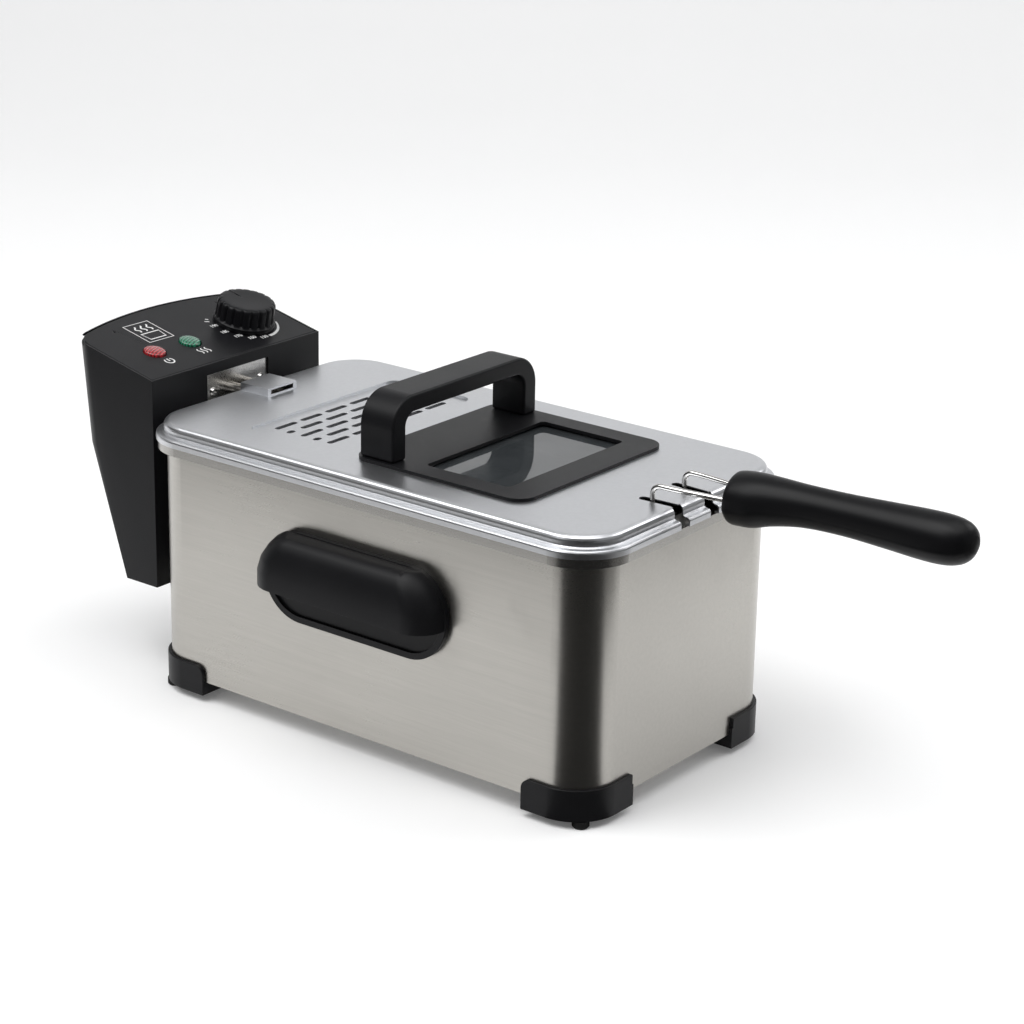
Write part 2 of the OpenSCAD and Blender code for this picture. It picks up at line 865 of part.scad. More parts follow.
// Open tub with the outer shape of the woven wire cage
module basket_cage() {
    color([0.78, 0.78, 0.76]) placed() difference() {
        translate([basket_mid, 0, basket_bottom])
            rounded_slab(basket_l, basket_w, basket_r, basket_depth);
        translate([basket_mid, 0, basket_bottom + basket_wall])
            rounded_slab(basket_l - 2 * basket_wall, basket_w - 2 * basket_wall,
                         basket_r - basket_wall, basket_depth);
    }
}

module basket_rim() {
    color([0.82, 0.82, 0.80]) placed() {
        translate([basket_mid, 0, basket_top + wire_r])
            bar_ring(basket_l - wire_d, basket_w - wire_d, basket_r - wire_r, wire_r);
    }
}

// Steel strap on the basket's end, with two eyes for the handle's wires
module basket_bracket() {
    strap_t = 1.2;
    color([0.82, 0.82, 0.80]) placed() difference() {
        union() {
            translate([basket_front, -wire_y - 8, wire_foot_z - 4])
                cube([strap_t, 2 * wire_y + 16, basket_top - wire_foot_z - 2]);
            for (sy = [-1, 1], z = [wire_foot_z, basket_top - 12]) {
                translate([wire_x, sy * wire_y, z]) cylinder(r = bracket_eye_r - 1, h = 6);
                translate([basket_front, sy * wire_y - 2, z]) cube([wire_x - basket_front, 4, 6]);
            }
        }
        for (sy = [-1, 1])
            translate([wire_x, sy * wire_y, wire_foot_z - 5])
                cylinder(r = wire_r + wire_fit, h = 60);
    }
}

// Hook at the rear of the basket that hangs on the tank's rim to drain
module drain_hook() {
    hook_x = basket_back - wire_r;
    color([0.82, 0.82, 0.80]) placed()
        for (sy = [-1, 1])
            bent_rod([[hook_x, sy * 40, basket_top - 34], [hook_x, sy * 40, basket_top + 9],
                      [hook_x - 9, sy * 40, basket_top + 9],
                      [hook_x - 9, sy * 40, basket_top - 3]], 3, wire_r);
}

module handle_wires() {
    color([0.85, 0.85, 0.84]) placed()
        for (sy = [-1, 1])
            translate([wire_x, sy * wire_y, wire_rise_z]) rotate([0, 0, -sy * wire_toe])
                bent_rod([[0, 0, wire_foot_z - wire_rise_z], [0, 0, 0], [wire_run, 0, 0]],
                         wire_bend, wire_r);
}

module grip_slice(s) {
    translate([grip_root_x + s[0] * grip_l, 0, s[3]]) rotate([90, 0, 90])
        linear_extrude(0.1, center = false) scale([s[1], s[2]]) circle(1, $fn = 32);
}

module basket_grip() {
    last = len(grip_sections) - 1;
    color([0.09, 0.09, 0.095]) placed() intersection() {
        for (i = [0:last - 1])
            hull() {
                grip_slice(grip_sections[i]);
                grip_slice(grip_sections[i + 1]);
            }
        translate([grip_root_x, -50, 0]) cube([grip_l, 100, 2 * lid_top]);
    }
}

// ---------------------------------------------------------------- lid

function arc_points(centre, r, from, to, steps) =
    [for (i = [0:steps]) let (a = from + (to - from) * i / steps)
        centre + r * [cos(a), sin(a)]];

// Section of the lid's edge: rounded shoulder, groove and outward lip
module lid_edge_profile() {
    shoulder = 3.6;
    groove_y = -6;
    outer = concat(
        arc_points([0, -shoulder], shoulder, 90, 0, 5),
        [[shoulder, groove_y], [shoulder + 1.2, groove_y - 0.7]],
        arc_points([lip_reach - 1.8, groove_y - 2.8], 1.8, 70, 0, 3),
        [[lip_reach, -lid_rise]]);
    hem = 3;
    inner = concat(
        [[lip_reach - hem, -lid_rise], [lip_reach - hem, -lid_rise + sheet],
         [lip_reach - sheet, -lid_rise + sheet], [lip_reach - sheet, groove_y - 2.8],
         [lip_reach - 1.8, groove_y - 1.9], [shoulder + 0.9, groove_y - 1.5],
         [shoulder - sheet, groove_y - 0.7]],
        arc_points([0, -shoulder], shoulder - sheet, 0, 90, 5));
    polygon(concat(outer, inner));
}

module grille_slots() {
    for (row = [0:grille_rows - 1]) {
        x = grille_x + (row - (grille_rows - 1) / 2) * grille_row_pitch;
        count = row % 2 == 0 ? 5 : 4;
        for (i = [0:count - 1])
            translate([x, (i - (count - 1) / 2) * grille_slot_pitch])
                rounded_rect(grille_slot_w, grille_slot_l, 1.9);
        if (count == 4)
            for (sy = [-1, 1])
                translate([x, sy * 52]) rounded_rect(grille_slot_w, 6, 1.9);
    }
}

// Slots for the handle wires, open at the lid's front edge and wider through the lip
module wire_slots() {
    reach = lid_l / 2 - wire_x;
    for (sy = [-1, 1])
        translate([wire_x, sy * wire_y]) rotate([0, 0, -sy * wire_toe]) {
            translate([-slot_back, 0]) circle(wire_slot_w / 2);
            translate([-slot_back, -wire_slot_w / 2]) square([60, wire_slot_w]);
            translate([reach + 1, -wire_slot_w / 2 - 1.3]) square([30, wire_slot_w + 2.6]);
        }
}

module lid_shell() {
    lens_l = window_l + 2 * glass_lap + 2;
    lens_w = window_w + 2 * glass_lap + 2;
    hump_x = -lid_l / 2 - 1;
    color(satin) placed() difference() {
        union() {
            translate([0, 0, lid_under]) linear_extrude(sheet) difference() {
                rounded_rect(lid_l, lid_w, lid_r);
                translate([grille_x, 0]) rounded_rect(grille_l, grille_w, grille_r);
                translate([window_mid, 0]) rounded_rect(lens_l, lens_w, 5);
            }
            translate([0, 0, lid_top]) swept_ring(lid_l, lid_w, lid_r) lid_edge_profile();
            translate([grille_x, 0, lid_under - grille_sink]) {
                rounded_tube(grille_l + 2 * sheet, grille_w + 2 * sheet, grille_r + sheet,
                             sheet, sheet + grille_sink);
                linear_extrude(sheet) difference() {
                    rounded_rect(grille_l + sheet, grille_w + sheet, grille_r);
                    translate([-grille_x, 0]) grille_slots();
                }
            }
            translate([hump_x, -hump_w / 2, lid_under]) cube([hump_l + 1, hump_w, hump_h + sheet]);
        }
        translate([hump_x - 20, -hump_w / 2 + sheet, 0])
            cube([20 + hump_l + 1 - sheet, hump_w - 2 * sheet, lid_top + hump_h - sheet]);
        translate([hump_x + hump_l - 3, -hump_w / 2 + 3, lid_top + 1])
            cube([10, hump_w - 6, hump_h - 2.2]);
        linear_extrude(2 * lid_top) wire_slots();
        for (sy = [-1, 1])
            lid_handle_screw_place(sy) cylinder(r = 2, h = 20);
        window_screw_places() cylinder(r = 1.5, h = 12);
    }
}

module filter_mesh() {
    color([0.35, 0.36, 0.38]) placed()
        translate([grille_x, 0, lid_under - grille_sink - filter_t])
            rounded_slab(grille_l - 4, grille_w - 4, grille_r - 2, filter_t);
}

module filter_retainer() {
    color(satin) placed()
        translate([grille_x, 0, lid_under - grille_sink - filter_t - sheet]) {
            difference() {
                rounded_slab(grille_l, grille_w, grille_r, sheet);
                for (iy = [-1:1])
                    translate([0, iy * 42, -1]) rounded_slab(grille_l - 14, 36, 4, 3);
            }
            translate([0, 0, sheet])
                rounded_tube(grille_l, grille_w, grille_r, 1.4, filter_t);
        }
}

module window_glass() {
    color([0.25, 0.28, 0.3, 0.5]) placed()
        translate([window_mid, 0, glass_top - glass_t])
            rounded_slab(window_l + 2 * glass_lap, window_w + 2 * glass_lap, 4, glass_t);
}

module window_gasket() {
    color([0.25, 0.25, 0.25]) placed()
        translate([window_mid, 0, glass_top - glass_t - 1.2])
            rounded_tube(window_l + 2 * glass_lap, window_w + 2 * glass_lap, 4, gasket_w, 1.2);
}

module window_retainer() {
    top = glass_top - glass_t - 1.2;
    color(satin) placed() difference() {
        union() {
            translate([window_mid, 0, top - retainer_t])
                rounded_slab(window_l + 24, window_w + 20, 8, retainer_t);
            translate([window_mid, 0, top - eps])
                rounded_tube(window_l + 24, window_w + 20, 8, 4, lid_under - top + eps);
        }
        translate([window_mid, 0, top - retainer_t - 1])
            rounded_slab(window_l, window_w, 3, 6);
        window_screw_places() cylinder(r = 1.5, h = 12);
    }
}

module window_frame() {
    color(black) placed() difference() {
        translate([frame_mid, 0, lid_top]) rounded_slab(frame_l, frame_w, frame_r, frame_h);
        translate([window_mid, 0, lid_top - 1]) rounded_slab(window_l, window_w, 3, frame_h + 2);
        window_screw_places() cylinder(r = 1.5, h = 9.2);
        for (sy = [-1, 1])
            lid_handle_screw_place(sy) cylinder(r = 2, h = 20);
    }
}

// Four screws come up from under the lid into the window frame
module window_screw_places() {
    for (sx = [-1, 1], sy = [-1, 1])
        translate([window_mid + sx * (window_l / 2 + 9), sy * (window_w / 2 - 12),
                   glass_top - glass_t - 1.2 - retainer_t])
            children();
}

module window_screws() {
    color(satin) placed() window_screw_places() {
        cylinder(r = 1.5, h = 9.2);
        translate([0, 0, -1.4]) cylinder(r = 2.8, h = 1.4);
    }
}

module lid_handle_screw_place(sy) {
    translate([lid_handle_x, sy * (lid_handle_span / 2 - lid_handle_t / 2), lid_under - 2.5])
        children();
}

// Bridge handle standing on the window frame
module lid_handle() {
    h = lid_handle_h;
    outer_r = h / 2 - 0.2;
    gap_w = lid_handle_span - 2 * lid_handle_t;
    gap_h = h - lid_bar_t;
    color(black) placed() difference() {
        translate([lid_handle_x - lid_handle_w / 2, 0, frame_top]) rotate([90, 0, 90])
            linear_extrude(lid_handle_w) difference() {
                union() {
                    translate([0, h / 2]) rounded_rect(lid_handle_span, h, outer_r);
                    translate([-lid_handle_span / 2, 0]) square([lid_handle_span, h / 2]);
                }
                union() {
                    translate([0, gap_h / 2]) rounded_rect(gap_w, gap_h, 8);
                    translate([-gap_w / 2, -1]) square([gap_w, gap_h / 2 + 1]);
                }
            }
        for (sy = [-1, 1])
            lid_handle_screw_place(sy) cylinder(r = 2, h = 16);
    }
}

module lid_handle_screws() {
    color(satin) placed()
        for (sy = [-1, 1])
            lid_handle_screw_place(sy) {
                cylinder(r = 2, h = 16);
                translate([0, 0, -1]) cylinder(r = 3.6, h = 2.5 + 1);
            }
}

casing_shell();
base_plate();
foot_front_left();
foot_front_right();
foot_rear_left();
foot_rear_right();
rubber_pads();
carry_plate_left();
carry_plate_right();
carry_hood_left();
carry_hood_right();
carry_handle_screws();
head_guide();
oil_tank();
head_housing();
control_panel();
thermostat_body();
thermostat_bulb();
lens_red();
lens_green();
lamp_bodies();
safety_switch();
terminal_block();
bracket_plate();
bracket_screws();
heating_element();
element_guard();
cord_gland();
housing_screws();
knob();
knob_shaft();
reset_button();
switch_plunger();
basket_cage();
basket_rim();
basket_bracket();
drain_hook();
handle_wires();
basket_grip();
lid_shell();
filter_mesh();
filter_retainer();
window_glass();
window_gasket();
window_retainer();
window_frame();
window_screws();
lid_handle();
lid_handle_screws();
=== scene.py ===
"""Deep fryer: finishes, detailed pieces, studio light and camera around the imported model."""
import json
import logging
import math
from dataclasses import dataclass
from enum import Enum
from typing import Callable, Sequence

import bmesh
import bpy
from mathutils import Matrix, Vector


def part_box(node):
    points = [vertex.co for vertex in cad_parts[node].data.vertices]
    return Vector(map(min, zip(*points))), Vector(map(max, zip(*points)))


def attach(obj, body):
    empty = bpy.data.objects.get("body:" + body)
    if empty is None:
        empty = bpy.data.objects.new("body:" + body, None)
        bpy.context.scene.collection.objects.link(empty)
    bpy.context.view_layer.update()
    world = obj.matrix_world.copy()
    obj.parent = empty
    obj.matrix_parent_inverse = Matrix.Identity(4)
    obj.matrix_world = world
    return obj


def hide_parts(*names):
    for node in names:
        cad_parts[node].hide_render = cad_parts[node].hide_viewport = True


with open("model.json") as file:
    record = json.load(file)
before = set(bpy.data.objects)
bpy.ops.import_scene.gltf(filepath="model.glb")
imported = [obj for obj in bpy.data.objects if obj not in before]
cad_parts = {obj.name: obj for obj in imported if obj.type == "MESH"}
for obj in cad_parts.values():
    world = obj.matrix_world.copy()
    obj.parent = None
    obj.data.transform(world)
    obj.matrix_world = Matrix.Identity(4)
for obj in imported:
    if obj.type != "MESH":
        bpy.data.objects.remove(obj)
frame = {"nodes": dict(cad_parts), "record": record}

log = logging.getLogger("fryer")
MM = 0.001
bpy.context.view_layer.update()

Colour = tuple[float, float, float]
Pair = tuple[float, float]


class Grain(Enum):
    """Direction that the brushing of a sheet runs in."""

    ALONG_X = (0.02, 1.0, 1.0)
    EVEN = (1.0, 1.0, 1.0)


class Tint(Enum):
    """Colour of a signal lens."""

    RED = (0.40, 0.006, 0.012)
    GREEN = (0.004, 0.17, 0.085)


# ------------------------------------------------------------------ shader maths


class Socket:
    """A shader output that ordinary arithmetic works on."""

    def __init__(self, graph: "Graph", output: bpy.types.NodeSocket) -> None:
        """Keep the graph and the output."""
        self.graph = graph
        self.output = output

    def _math(self, kind: str, a: "Socket | float", b: "Socket | float") -> "Socket":
        """Join two values with a Math node."""
        return self.graph.node("ShaderNodeMath", {"operation": kind}, {0: a, 1: b})

    def __add__(self, other: "Socket | float") -> "Socket":
        """Sum."""
        return self._math("ADD", self, other)

    def __sub__(self, other: "Socket | float") -> "Socket":
        """Difference."""
        return self._math("SUBTRACT", self, other)

    def __rsub__(self, other: "Socket | float") -> "Socket":
        """Difference with the value on the left."""
        return self._math("SUBTRACT", other, self)

    def __mul__(self, other: "Socket | float") -> "Socket":
        """Product."""
        return self._math("MULTIPLY", self, other)

    __radd__ = __add__
    __rmul__ = __mul__

    def ramp(self, low: float, high: float, to_low: float = 0.0, to_high: float = 1.0) -> "Socket":
        """Smooth step of this value from one range to another.

        Args:
            low: value that maps to to_low.
            high: value that maps to to_high.
            to_low: result at and below low.
            to_high: result at and above high.

        Returns:
            The remapped value.
        """
        return self.graph.node(
            "ShaderNodeMapRange", {"interpolation_type": "SMOOTHSTEP"},
            {"Value": self, "From Min": low, "From Max": high, "To Min": to_low, "To Max": to_high})

    def blend(self, first: Colour, second: Colour) -> "Socket":
        """Colour between two colours, by this value."""
        return self.graph.node(
            "ShaderNodeMix", {"data_type": "RGBA"}, {0: self, 6: (*first, 1.0), 7: (*second, 1.0)}, 2)


class Graph:
    """Node tree of one material, ending in a Principled surface."""

    def __init__(self, name: str) -> None:
        """Make an empty material with that name."""
        self.material = bpy.data.materials.new(name)
        self.material.use_nodes = True
        self.tree = self.material.node_tree
        self.tree.nodes.clear()

    def node(self, kind: str, settings: dict | None = None, inputs: dict | None = None,
             output: int | str = 0) -> Socket:
        """Add one node.

        Args:
            kind: node type name.
            settings: attributes that are set before anything is linked.
            inputs: socket name or number to a value or a Socket.
            output: which output to hand back.

        Returns:
            The chosen output.
        """
        made = self.tree.nodes.new(kind)
        for key, value in (settings or {}).items():
            setattr(made, key, value)
        for key, value in (inputs or {}).items():
            if isinstance(value, Socket):
                self.tree.links.new(value.output, made.inputs[key])
            else:
                made.inputs[key].default_value = value
        return Socket(self, made.outputs[output]) if made.outputs else Socket(self, None)

    def place(self, scale: Sequence[float] = (1.0, 1.0, 1.0)) -> Socket:
        """Position on the piece in metres, stretched by scale."""
        coord = self.node("ShaderNodeTexCoord", output="Object")
        return self.node("ShaderNodeMapping", {"vector_type": "POINT"}, {"Vector": coord, "Scale": scale})

    def noise(self, scale: float, stretch: Sequence[float] = (1.0, 1.0, 1.0), detail: float = 3.0,
              rough: float = 0.55) -> Socket:
        """Fractal noise from 0 to 1.

        Args:
            scale: features per metre.
            stretch: scale of each axis on top of that.
            detail: number of octaves.
            rough: strength of the finer octaves.

        Returns:
            The noise value.
        """
        return self.node("ShaderNodeTexNoise", inputs={
            "Vector": self.place(stretch), "Scale": scale, "Detail": detail, "Roughness": rough})

    def split(self) -> list[Socket]:
        """X, Y and Z of the position in metres."""
        parts = self.node("ShaderNodeSeparateXYZ", inputs={0: self.place()})
        return [Socket(self, parts.output.node.outputs[i]) for i in range(3)]

    def bump(self, height: Socket, distance: float, strength: float = 1.0) -> Socket:
        """Normal from a height."""
        return self.node("ShaderNodeBump", inputs={
            "Height": height, "Distance": distance, "Strength": strength})

    def surface(self, **inputs: "Socket | float | Colour") -> bpy.types.Material:
        """Finish the material with a Principled surface.

        Args:
            **inputs: socket names with underscores for spaces.

        Returns:
            The finished material.
        """
        named = {k.replace("_", " "): ((*v, 1.0) if isinstance(v, tuple) and len(v) == 3 else v)
                 for k, v in inputs.items()}
        shader = self.node("ShaderNodeBsdfPrincipled", inputs=named)
        self.node("ShaderNodeOutputMaterial", inputs={"Surface": shader})
        return self.material


# ------------------------------------------------------------------ finishes


@dataclass(frozen=True)
class Steel:
    """Brushed or satin sheet steel."""

    name: str
    colour: Colour = (0.60, 0.585, 0.56)
    roughness: float = 0.30
    grain: Grain = Grain.ALONG_X
    depth: float = 0.00002
    contrast: float = 0.10

    def material(self) -> bpy.types.Material:
        """Build the material."""
        g = Graph(self.name)
        fine = g.noise(2600.0, self.grain.value, 2.0, 0.6)
        broad = g.noise(420.0, self.grain.value, 3.0, 0.5)
        cloud = g.noise(9.0, (1.0, 1.0, 1.0), 2.0, 0.5)
        smear = g.noise(38.0, (1.0, 1.0, 1.0), 4.0, 0.6)
        shade = (fine * 0.55 + broad * 0.45).ramp(0.25, 0.75)
        dark = tuple(c * (1.0 - self.contrast) for c in self.colour)
        light = tuple(min(1.0, c * (1.0 + self.contrast)) for c in self.colour)
        rough = self.roughness + (cloud - 0.5) * 0.10 + (fine - 0.5) * 0.10
        rough = rough + smear.ramp(0.52, 0.8, 0.0, 0.05)
        height = fine * 0.7 + broad * 0.3
        return g.surface(Base_Color=shade.blend(dark, light), Metallic=1.0, Roughness=rough,
                         Normal=g.bump(height, self.depth, 0.6))


@dataclass(frozen=True)
class Wire:
    """Bright plated wire or a polished screw."""

    name: str
    colour: Colour = (0.80, 0.79, 0.77)
    roughness: float = 0.11

    def material(self) -> bpy.types.Material:
        """Build the material."""
        g = Graph(self.name)
        patch = g.noise(160.0, detail=4.0)
        pits = g.noise(1400.0, detail=2.0)
        worn = tuple(c * 0.82 for c in self.colour)
        return g.surface(Base_Color=patch.ramp(0.35, 0.7).blend(self.colour, worn), Metallic=1.0,
                         Roughness=self.roughness + (patch - 0.5) * 0.10,
                         Normal=g.bump(pits, 0.00001, 0.4))


@dataclass(frozen=True)
class Plastic:
    """Moulded plastic with a spark-eroded texture."""

    name: str
    colour: Colour = (0.0060, 0.0060, 0.0070)
    roughness: float = 0.40
    texture: float = 2400.0
    depth: float = 0.00004
    coat: float = 0.0
    specular: float = 0.19

    def material(self) -> bpy.types.Material:
        """Build the material."""
        g = Graph(self.name)
        fine = g.noise(self.texture, detail=2.0, rough=0.6)
        cloud = g.noise(22.0, detail=3.0)
        touch = g.noise(70.0, detail=4.0, rough=0.65)
        light = tuple(c * 1.22 + 0.001 for c in self.colour)
        rough = self.roughness + (fine - 0.5) * 0.12 + (cloud - 0.5) * 0.08
        rough = rough - touch.ramp(0.58, 0.85, 0.0, 0.05)
        return g.surface(Base_Color=(fine * 0.6 + cloud * 0.4).ramp(0.3, 0.7).blend(self.colour, light),
                         Roughness=rough, Coat_Weight=self.coat, Coat_Roughness=0.25,
                         Specular_IOR_Level=self.specular,
                         Normal=g.bump(fine, self.depth, 0.5))


@dataclass(frozen=True)
class Glass:
    """Toughened window glass with a faint smoke tint."""

    name: str = "window_glass_finish"

    def material(self) -> bpy.types.Material:
        """Build the material."""
        g = Graph(self.name)
        wave = g.noise(14.0, detail=2.0)
        film = g.noise(55.0, detail=4.0, rough=0.6)
        shade = film.ramp(0.3, 0.8).blend((0.045, 0.050, 0.054), (0.060, 0.066, 0.070))
        return g.surface(Base_Color=shade,
                         Roughness=0.035 + film.ramp(0.5, 0.85, 0.0, 0.03), IOR=2.3,
                         Alpha=film.ramp(0.2, 0.8, 0.72, 0.78), Normal=g.bump(wave, 0.0002, 0.05))


@dataclass(frozen=True)
class SignalLens:
    """Ribbed translucent lens over a lamp."""

    name: str
    tint: Tint

    def material(self) -> bpy.types.Material:
        """Build the material."""
        g = Graph(self.name)
        x, y, _ = g.split()
        cells = x * 3200.0 + y * 900.0
        rib = g.node("ShaderNodeMath", {"operation": "SINE"}, {0: cells})
        flecks = g.noise(900.0, detail=2.0)
        deep = tuple(c * 0.35 for c in self.tint.value)
        bright = tuple(min(1.0, c * 1.25 + 0.02) for c in self.tint.value)
        shade = (rib * 0.28 + flecks).ramp(0.25, 0.85)
        # Painted glow: the faint emission makes the lens shine a little, though no lamp behind it is lit.
        return g.surface(Base_Color=shade.blend(deep, bright), Roughness=0.16, Coat_Weight=0.8,
                         Coat_Roughness=0.05, Emission_Color=shade.blend(deep, self.tint.value),
                         Emission_Strength=0.08, Normal=g.bump(rib, 0.00025, 0.6))


@dataclass(frozen=True)
class Knit:
    """Knitted metal wool of the steam filter."""

    name: str = "filter_wool_finish"

    def material(self) -> bpy.types.Material:
        """Build the material."""
        g = Graph(self.name)
        cell = g.node("ShaderNodeTexVoronoi", {"feature": "DISTANCE_TO_EDGE"},
                      {"Vector": g.place(), "Scale": 620.0})
        fine = g.noise(1800.0, detail=2.0)
        strand = cell.ramp(0.02, 0.16, 1.0, 0.0)
        # Painted shade: the near-black cell centres stand in for the shaded depth between the strands. The
        # strand colour is kept dark too, partly as painted shade inside the grille slots.
        return g.surface(Base_Color=strand.blend((0.004, 0.004, 0.005), (0.10, 0.10, 0.11)),
                         Metallic=0.8, Roughness=0.42 + (fine - 0.5) * 0.2,
                         Normal=g.bump(strand, 0.0006, 0.9))


@dataclass(frozen=True)
class Ink:
    """White print on the control panel."""

    name: str = "white_print_finish"
    colour: Colour = (0.80, 0.80, 0.79)

    def material(self) -> bpy.types.Material:
        """Build the material."""
        g = Graph(self.name)
        thin = g.noise(700.0, detail=3.0)
        faded = tuple(c * 0.86 for c in self.colour)
        return g.surface(Base_Color=thin.ramp(0.25, 0.6).blend(faded, self.colour),
                         Roughness=0.5 + (thin - 0.5) * 0.15, Normal=g.bump(thin, 0.00001, 0.3))


class Finishes:
    """Every finish, made once."""

    def __init__(self) -> None:
        """Build all the materials."""
        self.casing = Steel("casing_finish", (0.46, 0.445, 0.415), 0.30,
                            Grain.ALONG_X, 0.000012, 0.05).material()
        self.lid = Steel("lid_finish", (0.66, 0.67, 0.69), 0.33, Grain.EVEN, 0.000012, 0.04).material()
        self.plain = Steel("plain_steel_finish", (0.62, 0.61, 0.59), 0.28,
                           Grain.EVEN, 0.00002, 0.06).material()
        self.tank = Steel("tank_finish", (0.40, 0.39, 0.37), 0.24,
                          Grain.ALONG_X, 0.00001, 0.05).material()
        self.element = Steel("element_finish", (0.50, 0.48, 0.45), 0.24,
                             Grain.EVEN, 0.00002, 0.12).material()
        self.wire = Wire("plated_wire_finish").material()
        self.screw = Wire("screw_finish", (0.74, 0.73, 0.71), 0.2).material()
        self.copper = Wire("plated_tube_finish", (0.70, 0.66, 0.60), 0.18).material()
        self.charcoal = Plastic("charcoal_finish").material()
        self.panel = Plastic("panel_finish", (0.0060, 0.0060, 0.0072), 0.40, 3000.0, 0.00003).material()
        self.grip = Plastic("grip_finish", (0.0035, 0.0035, 0.0042), 0.38, 3600.0, 0.00002).material()
        self.knob = Plastic("knob_finish", (0.0045, 0.0045, 0.0055), 0.36, 3200.0, 0.00002, 0.0).material()
        self.cream = Plastic("cream_finish", (0.62, 0.58, 0.48), 0.5, 1500.0, 0.00003).material()
        self.button = Plastic("button_finish", (0.45, 0.03, 0.025), 0.3, 1800.0, 0.00002, 0.3).material()
        self.rubber = Plastic("rubber_finish", (0.010, 0.010, 0.010), 0.72, 1400.0, 0.00006).material()
        self.glass = Glass().material()
        self.red = SignalLens("red_lens_finish", Tint.RED).material()
        self.green = SignalLens("green_lens_finish", Tint.GREEN).material()
        self.wool = Knit().material()
        self.ink = Ink().material()

    def dress(self, node: str, material: bpy.types.Material) -> None:
        """Give a carried-over node one finish in all its slots."""
        obj = frame["nodes"][node]
        if isinstance(obj, str):
            obj = bpy.data.objects[obj]
        if not obj.material_slots:
            obj.data.materials.append(material)
        for held in obj.material_slots:
            held.material = material
        log.info("dressed %s with %s", node, material.name)


# ------------------------------------------------------------------ mesh tools


class Piece:
    """Helpers that turn bmesh geometry into a piece riding on a body."""

    @staticmethod
    def finish(bm: bmesh.types.BMesh, name: str, body: str, material: bpy.types.Material, slot: str,
               replaces: Sequence[str] = (), smooth: float = 35.0,
               even: bool = False) -> bpy.types.Object:
        """Turn a bmesh into a shaded piece.

        Args:
            bm: the geometry, in metres.
            name: piece name.
            body: the body it rides on.
            material: its finish.
            slot: the record's material slot; not used.
            replaces: nodes that the piece stands for.
            smooth: edges sharper than this many degrees stay sharp.
            even: whether large flat faces keep their shading flat.

        Returns:
            The new object.
        """
        bmesh.ops.recalc_face_normals(bm, faces=bm.faces)
        mesh = bpy.data.meshes.new(name)
        for face in bm.faces:
            face.smooth = True
        limit = math.radians(smooth)
        for edge in bm.edges:
            edge.smooth = len(edge.link_faces) == 2 and edge.calc_face_angle(0.0) < limit
        bm.to_mesh(mesh)
        bm.free()
        obj = bpy.data.objects.new(name, mesh)
        bpy.context.scene.collection.objects.link(obj)
        mesh.materials.append(material)
        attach(obj, body)
        if replaces:
            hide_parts(*replaces)
        if even:
            steady = obj.modifiers.new("even_faces", "WEIGHTED_NORMAL")
            steady.weight, steady.keep_sharp = 100, True
        log.info("made %s: %d faces on %s", name, len(mesh.polygons), body)
        return obj

    @staticmethod
    def loft(bm: bmesh.types.BMesh, rings: Sequence[Sequence[Vector]], caps: bool = True) -> None:
        """Skin closed rings of equal count, with a fan on each end if caps is set."""
        rows = [[bm.verts.new(p) for p in ring] for ring in rings]
        count = len(rows[0])
        for a, b in zip(rows, rows[1:]):
            for i in range(count):
                j = (i + 1) % count
                bm.faces.new((a[i], a[j], b[j], b[i]))
        if caps:
            for row in (rows[0], rows[-1]):
                middle = bm.verts.new(sum((v.co for v in row), Vector()) / count)
                for i in range(count):
                    bm.faces.new((row[i], row[(i + 1) % count], middle))

    @staticmethod
    def tube(bm: bmesh.types.BMesh, path: Sequence[Vector], radius: float, sides: int = 10,
             closed: bool = False) -> None:
        """Round tube along a path of points.

        Args:
            bm: where the tube is added.
            path: centre points in metres.
            radius: tube radius in metres.
            sides: points round the tube.
            closed: whether the path joins up.
        """
        rings, side = [], None
        total = len(path)
        for i, point in enumerate(path):
            ahead = path[(i + 1) % total] if closed or i + 1 < total else point
            behind = path[i - 1] if closed or i > 0 else point
            run = (ahead - behind).normalized()
            first = Vector((0, 0, 1)) if abs(run.z) < 0.9 else Vector((1, 0, 0))
            guess = side if side is not None else first
            side = (guess - guess.dot(run) * run).normalized()
            up = run.cross(side)
            turn = [2 * math.pi * k / sides for k in range(sides)]
            rings.append([point + radius * (math.cos(t) * side + math.sin(t) * up) for t in turn])
        if closed:
            rings.append(rings[0])
        Piece.loft(bm, rings, not closed)
        if closed:
            bmesh.ops.remove_doubles(bm, verts=bm.verts, dist=1e-7)

    @staticmethod
    def softened(node: str, width: float, segments: int = 3, angle: float = 32.0,
                 drop: float = 2.0, clamp: bool = True,
                 mend: "Callable[[bmesh.types.BMesh], None] | None" = None) -> bmesh.types.BMesh:
        """Copy of a node's surface with its sharp edges rounded.

        Args:
            node: the node to copy.
            width: edge rounding in metres.
            segments: facets across each rounding.
            angle: only edges sharper than this many degrees are rounded.
            drop: flat facets within this many degrees are joined first.
            clamp: whether roundings give way where edges are short.
            mend: change made to the copy before its edges are rounded.

        Returns:
            The new geometry.
        """
        source = frame["nodes"][node]
        source = bpy.data.objects[source] if isinstance(source, str) else source
        bm = bmesh.new()
        bm.from_mesh(source.data)
        bmesh.ops.remove_doubles(bm, verts=bm.verts, dist=2e-6)
        if mend:
            mend(bm)
        bmesh.ops.dissolve_limit(bm, angle_limit=math.radians(drop), verts=bm.verts, edges=bm.edges)
        limit = math.radians(angle)
        sharp = [e for e in bm.edges if len(e.link_faces) == 2 and e.calc_face_angle(0.0) > limit]
        bmesh.ops.bevel(bm, geom=sharp, offset=width, segments=segments, profile=0.5,
                        affect="EDGES", clamp_overlap=clamp)
        return bm


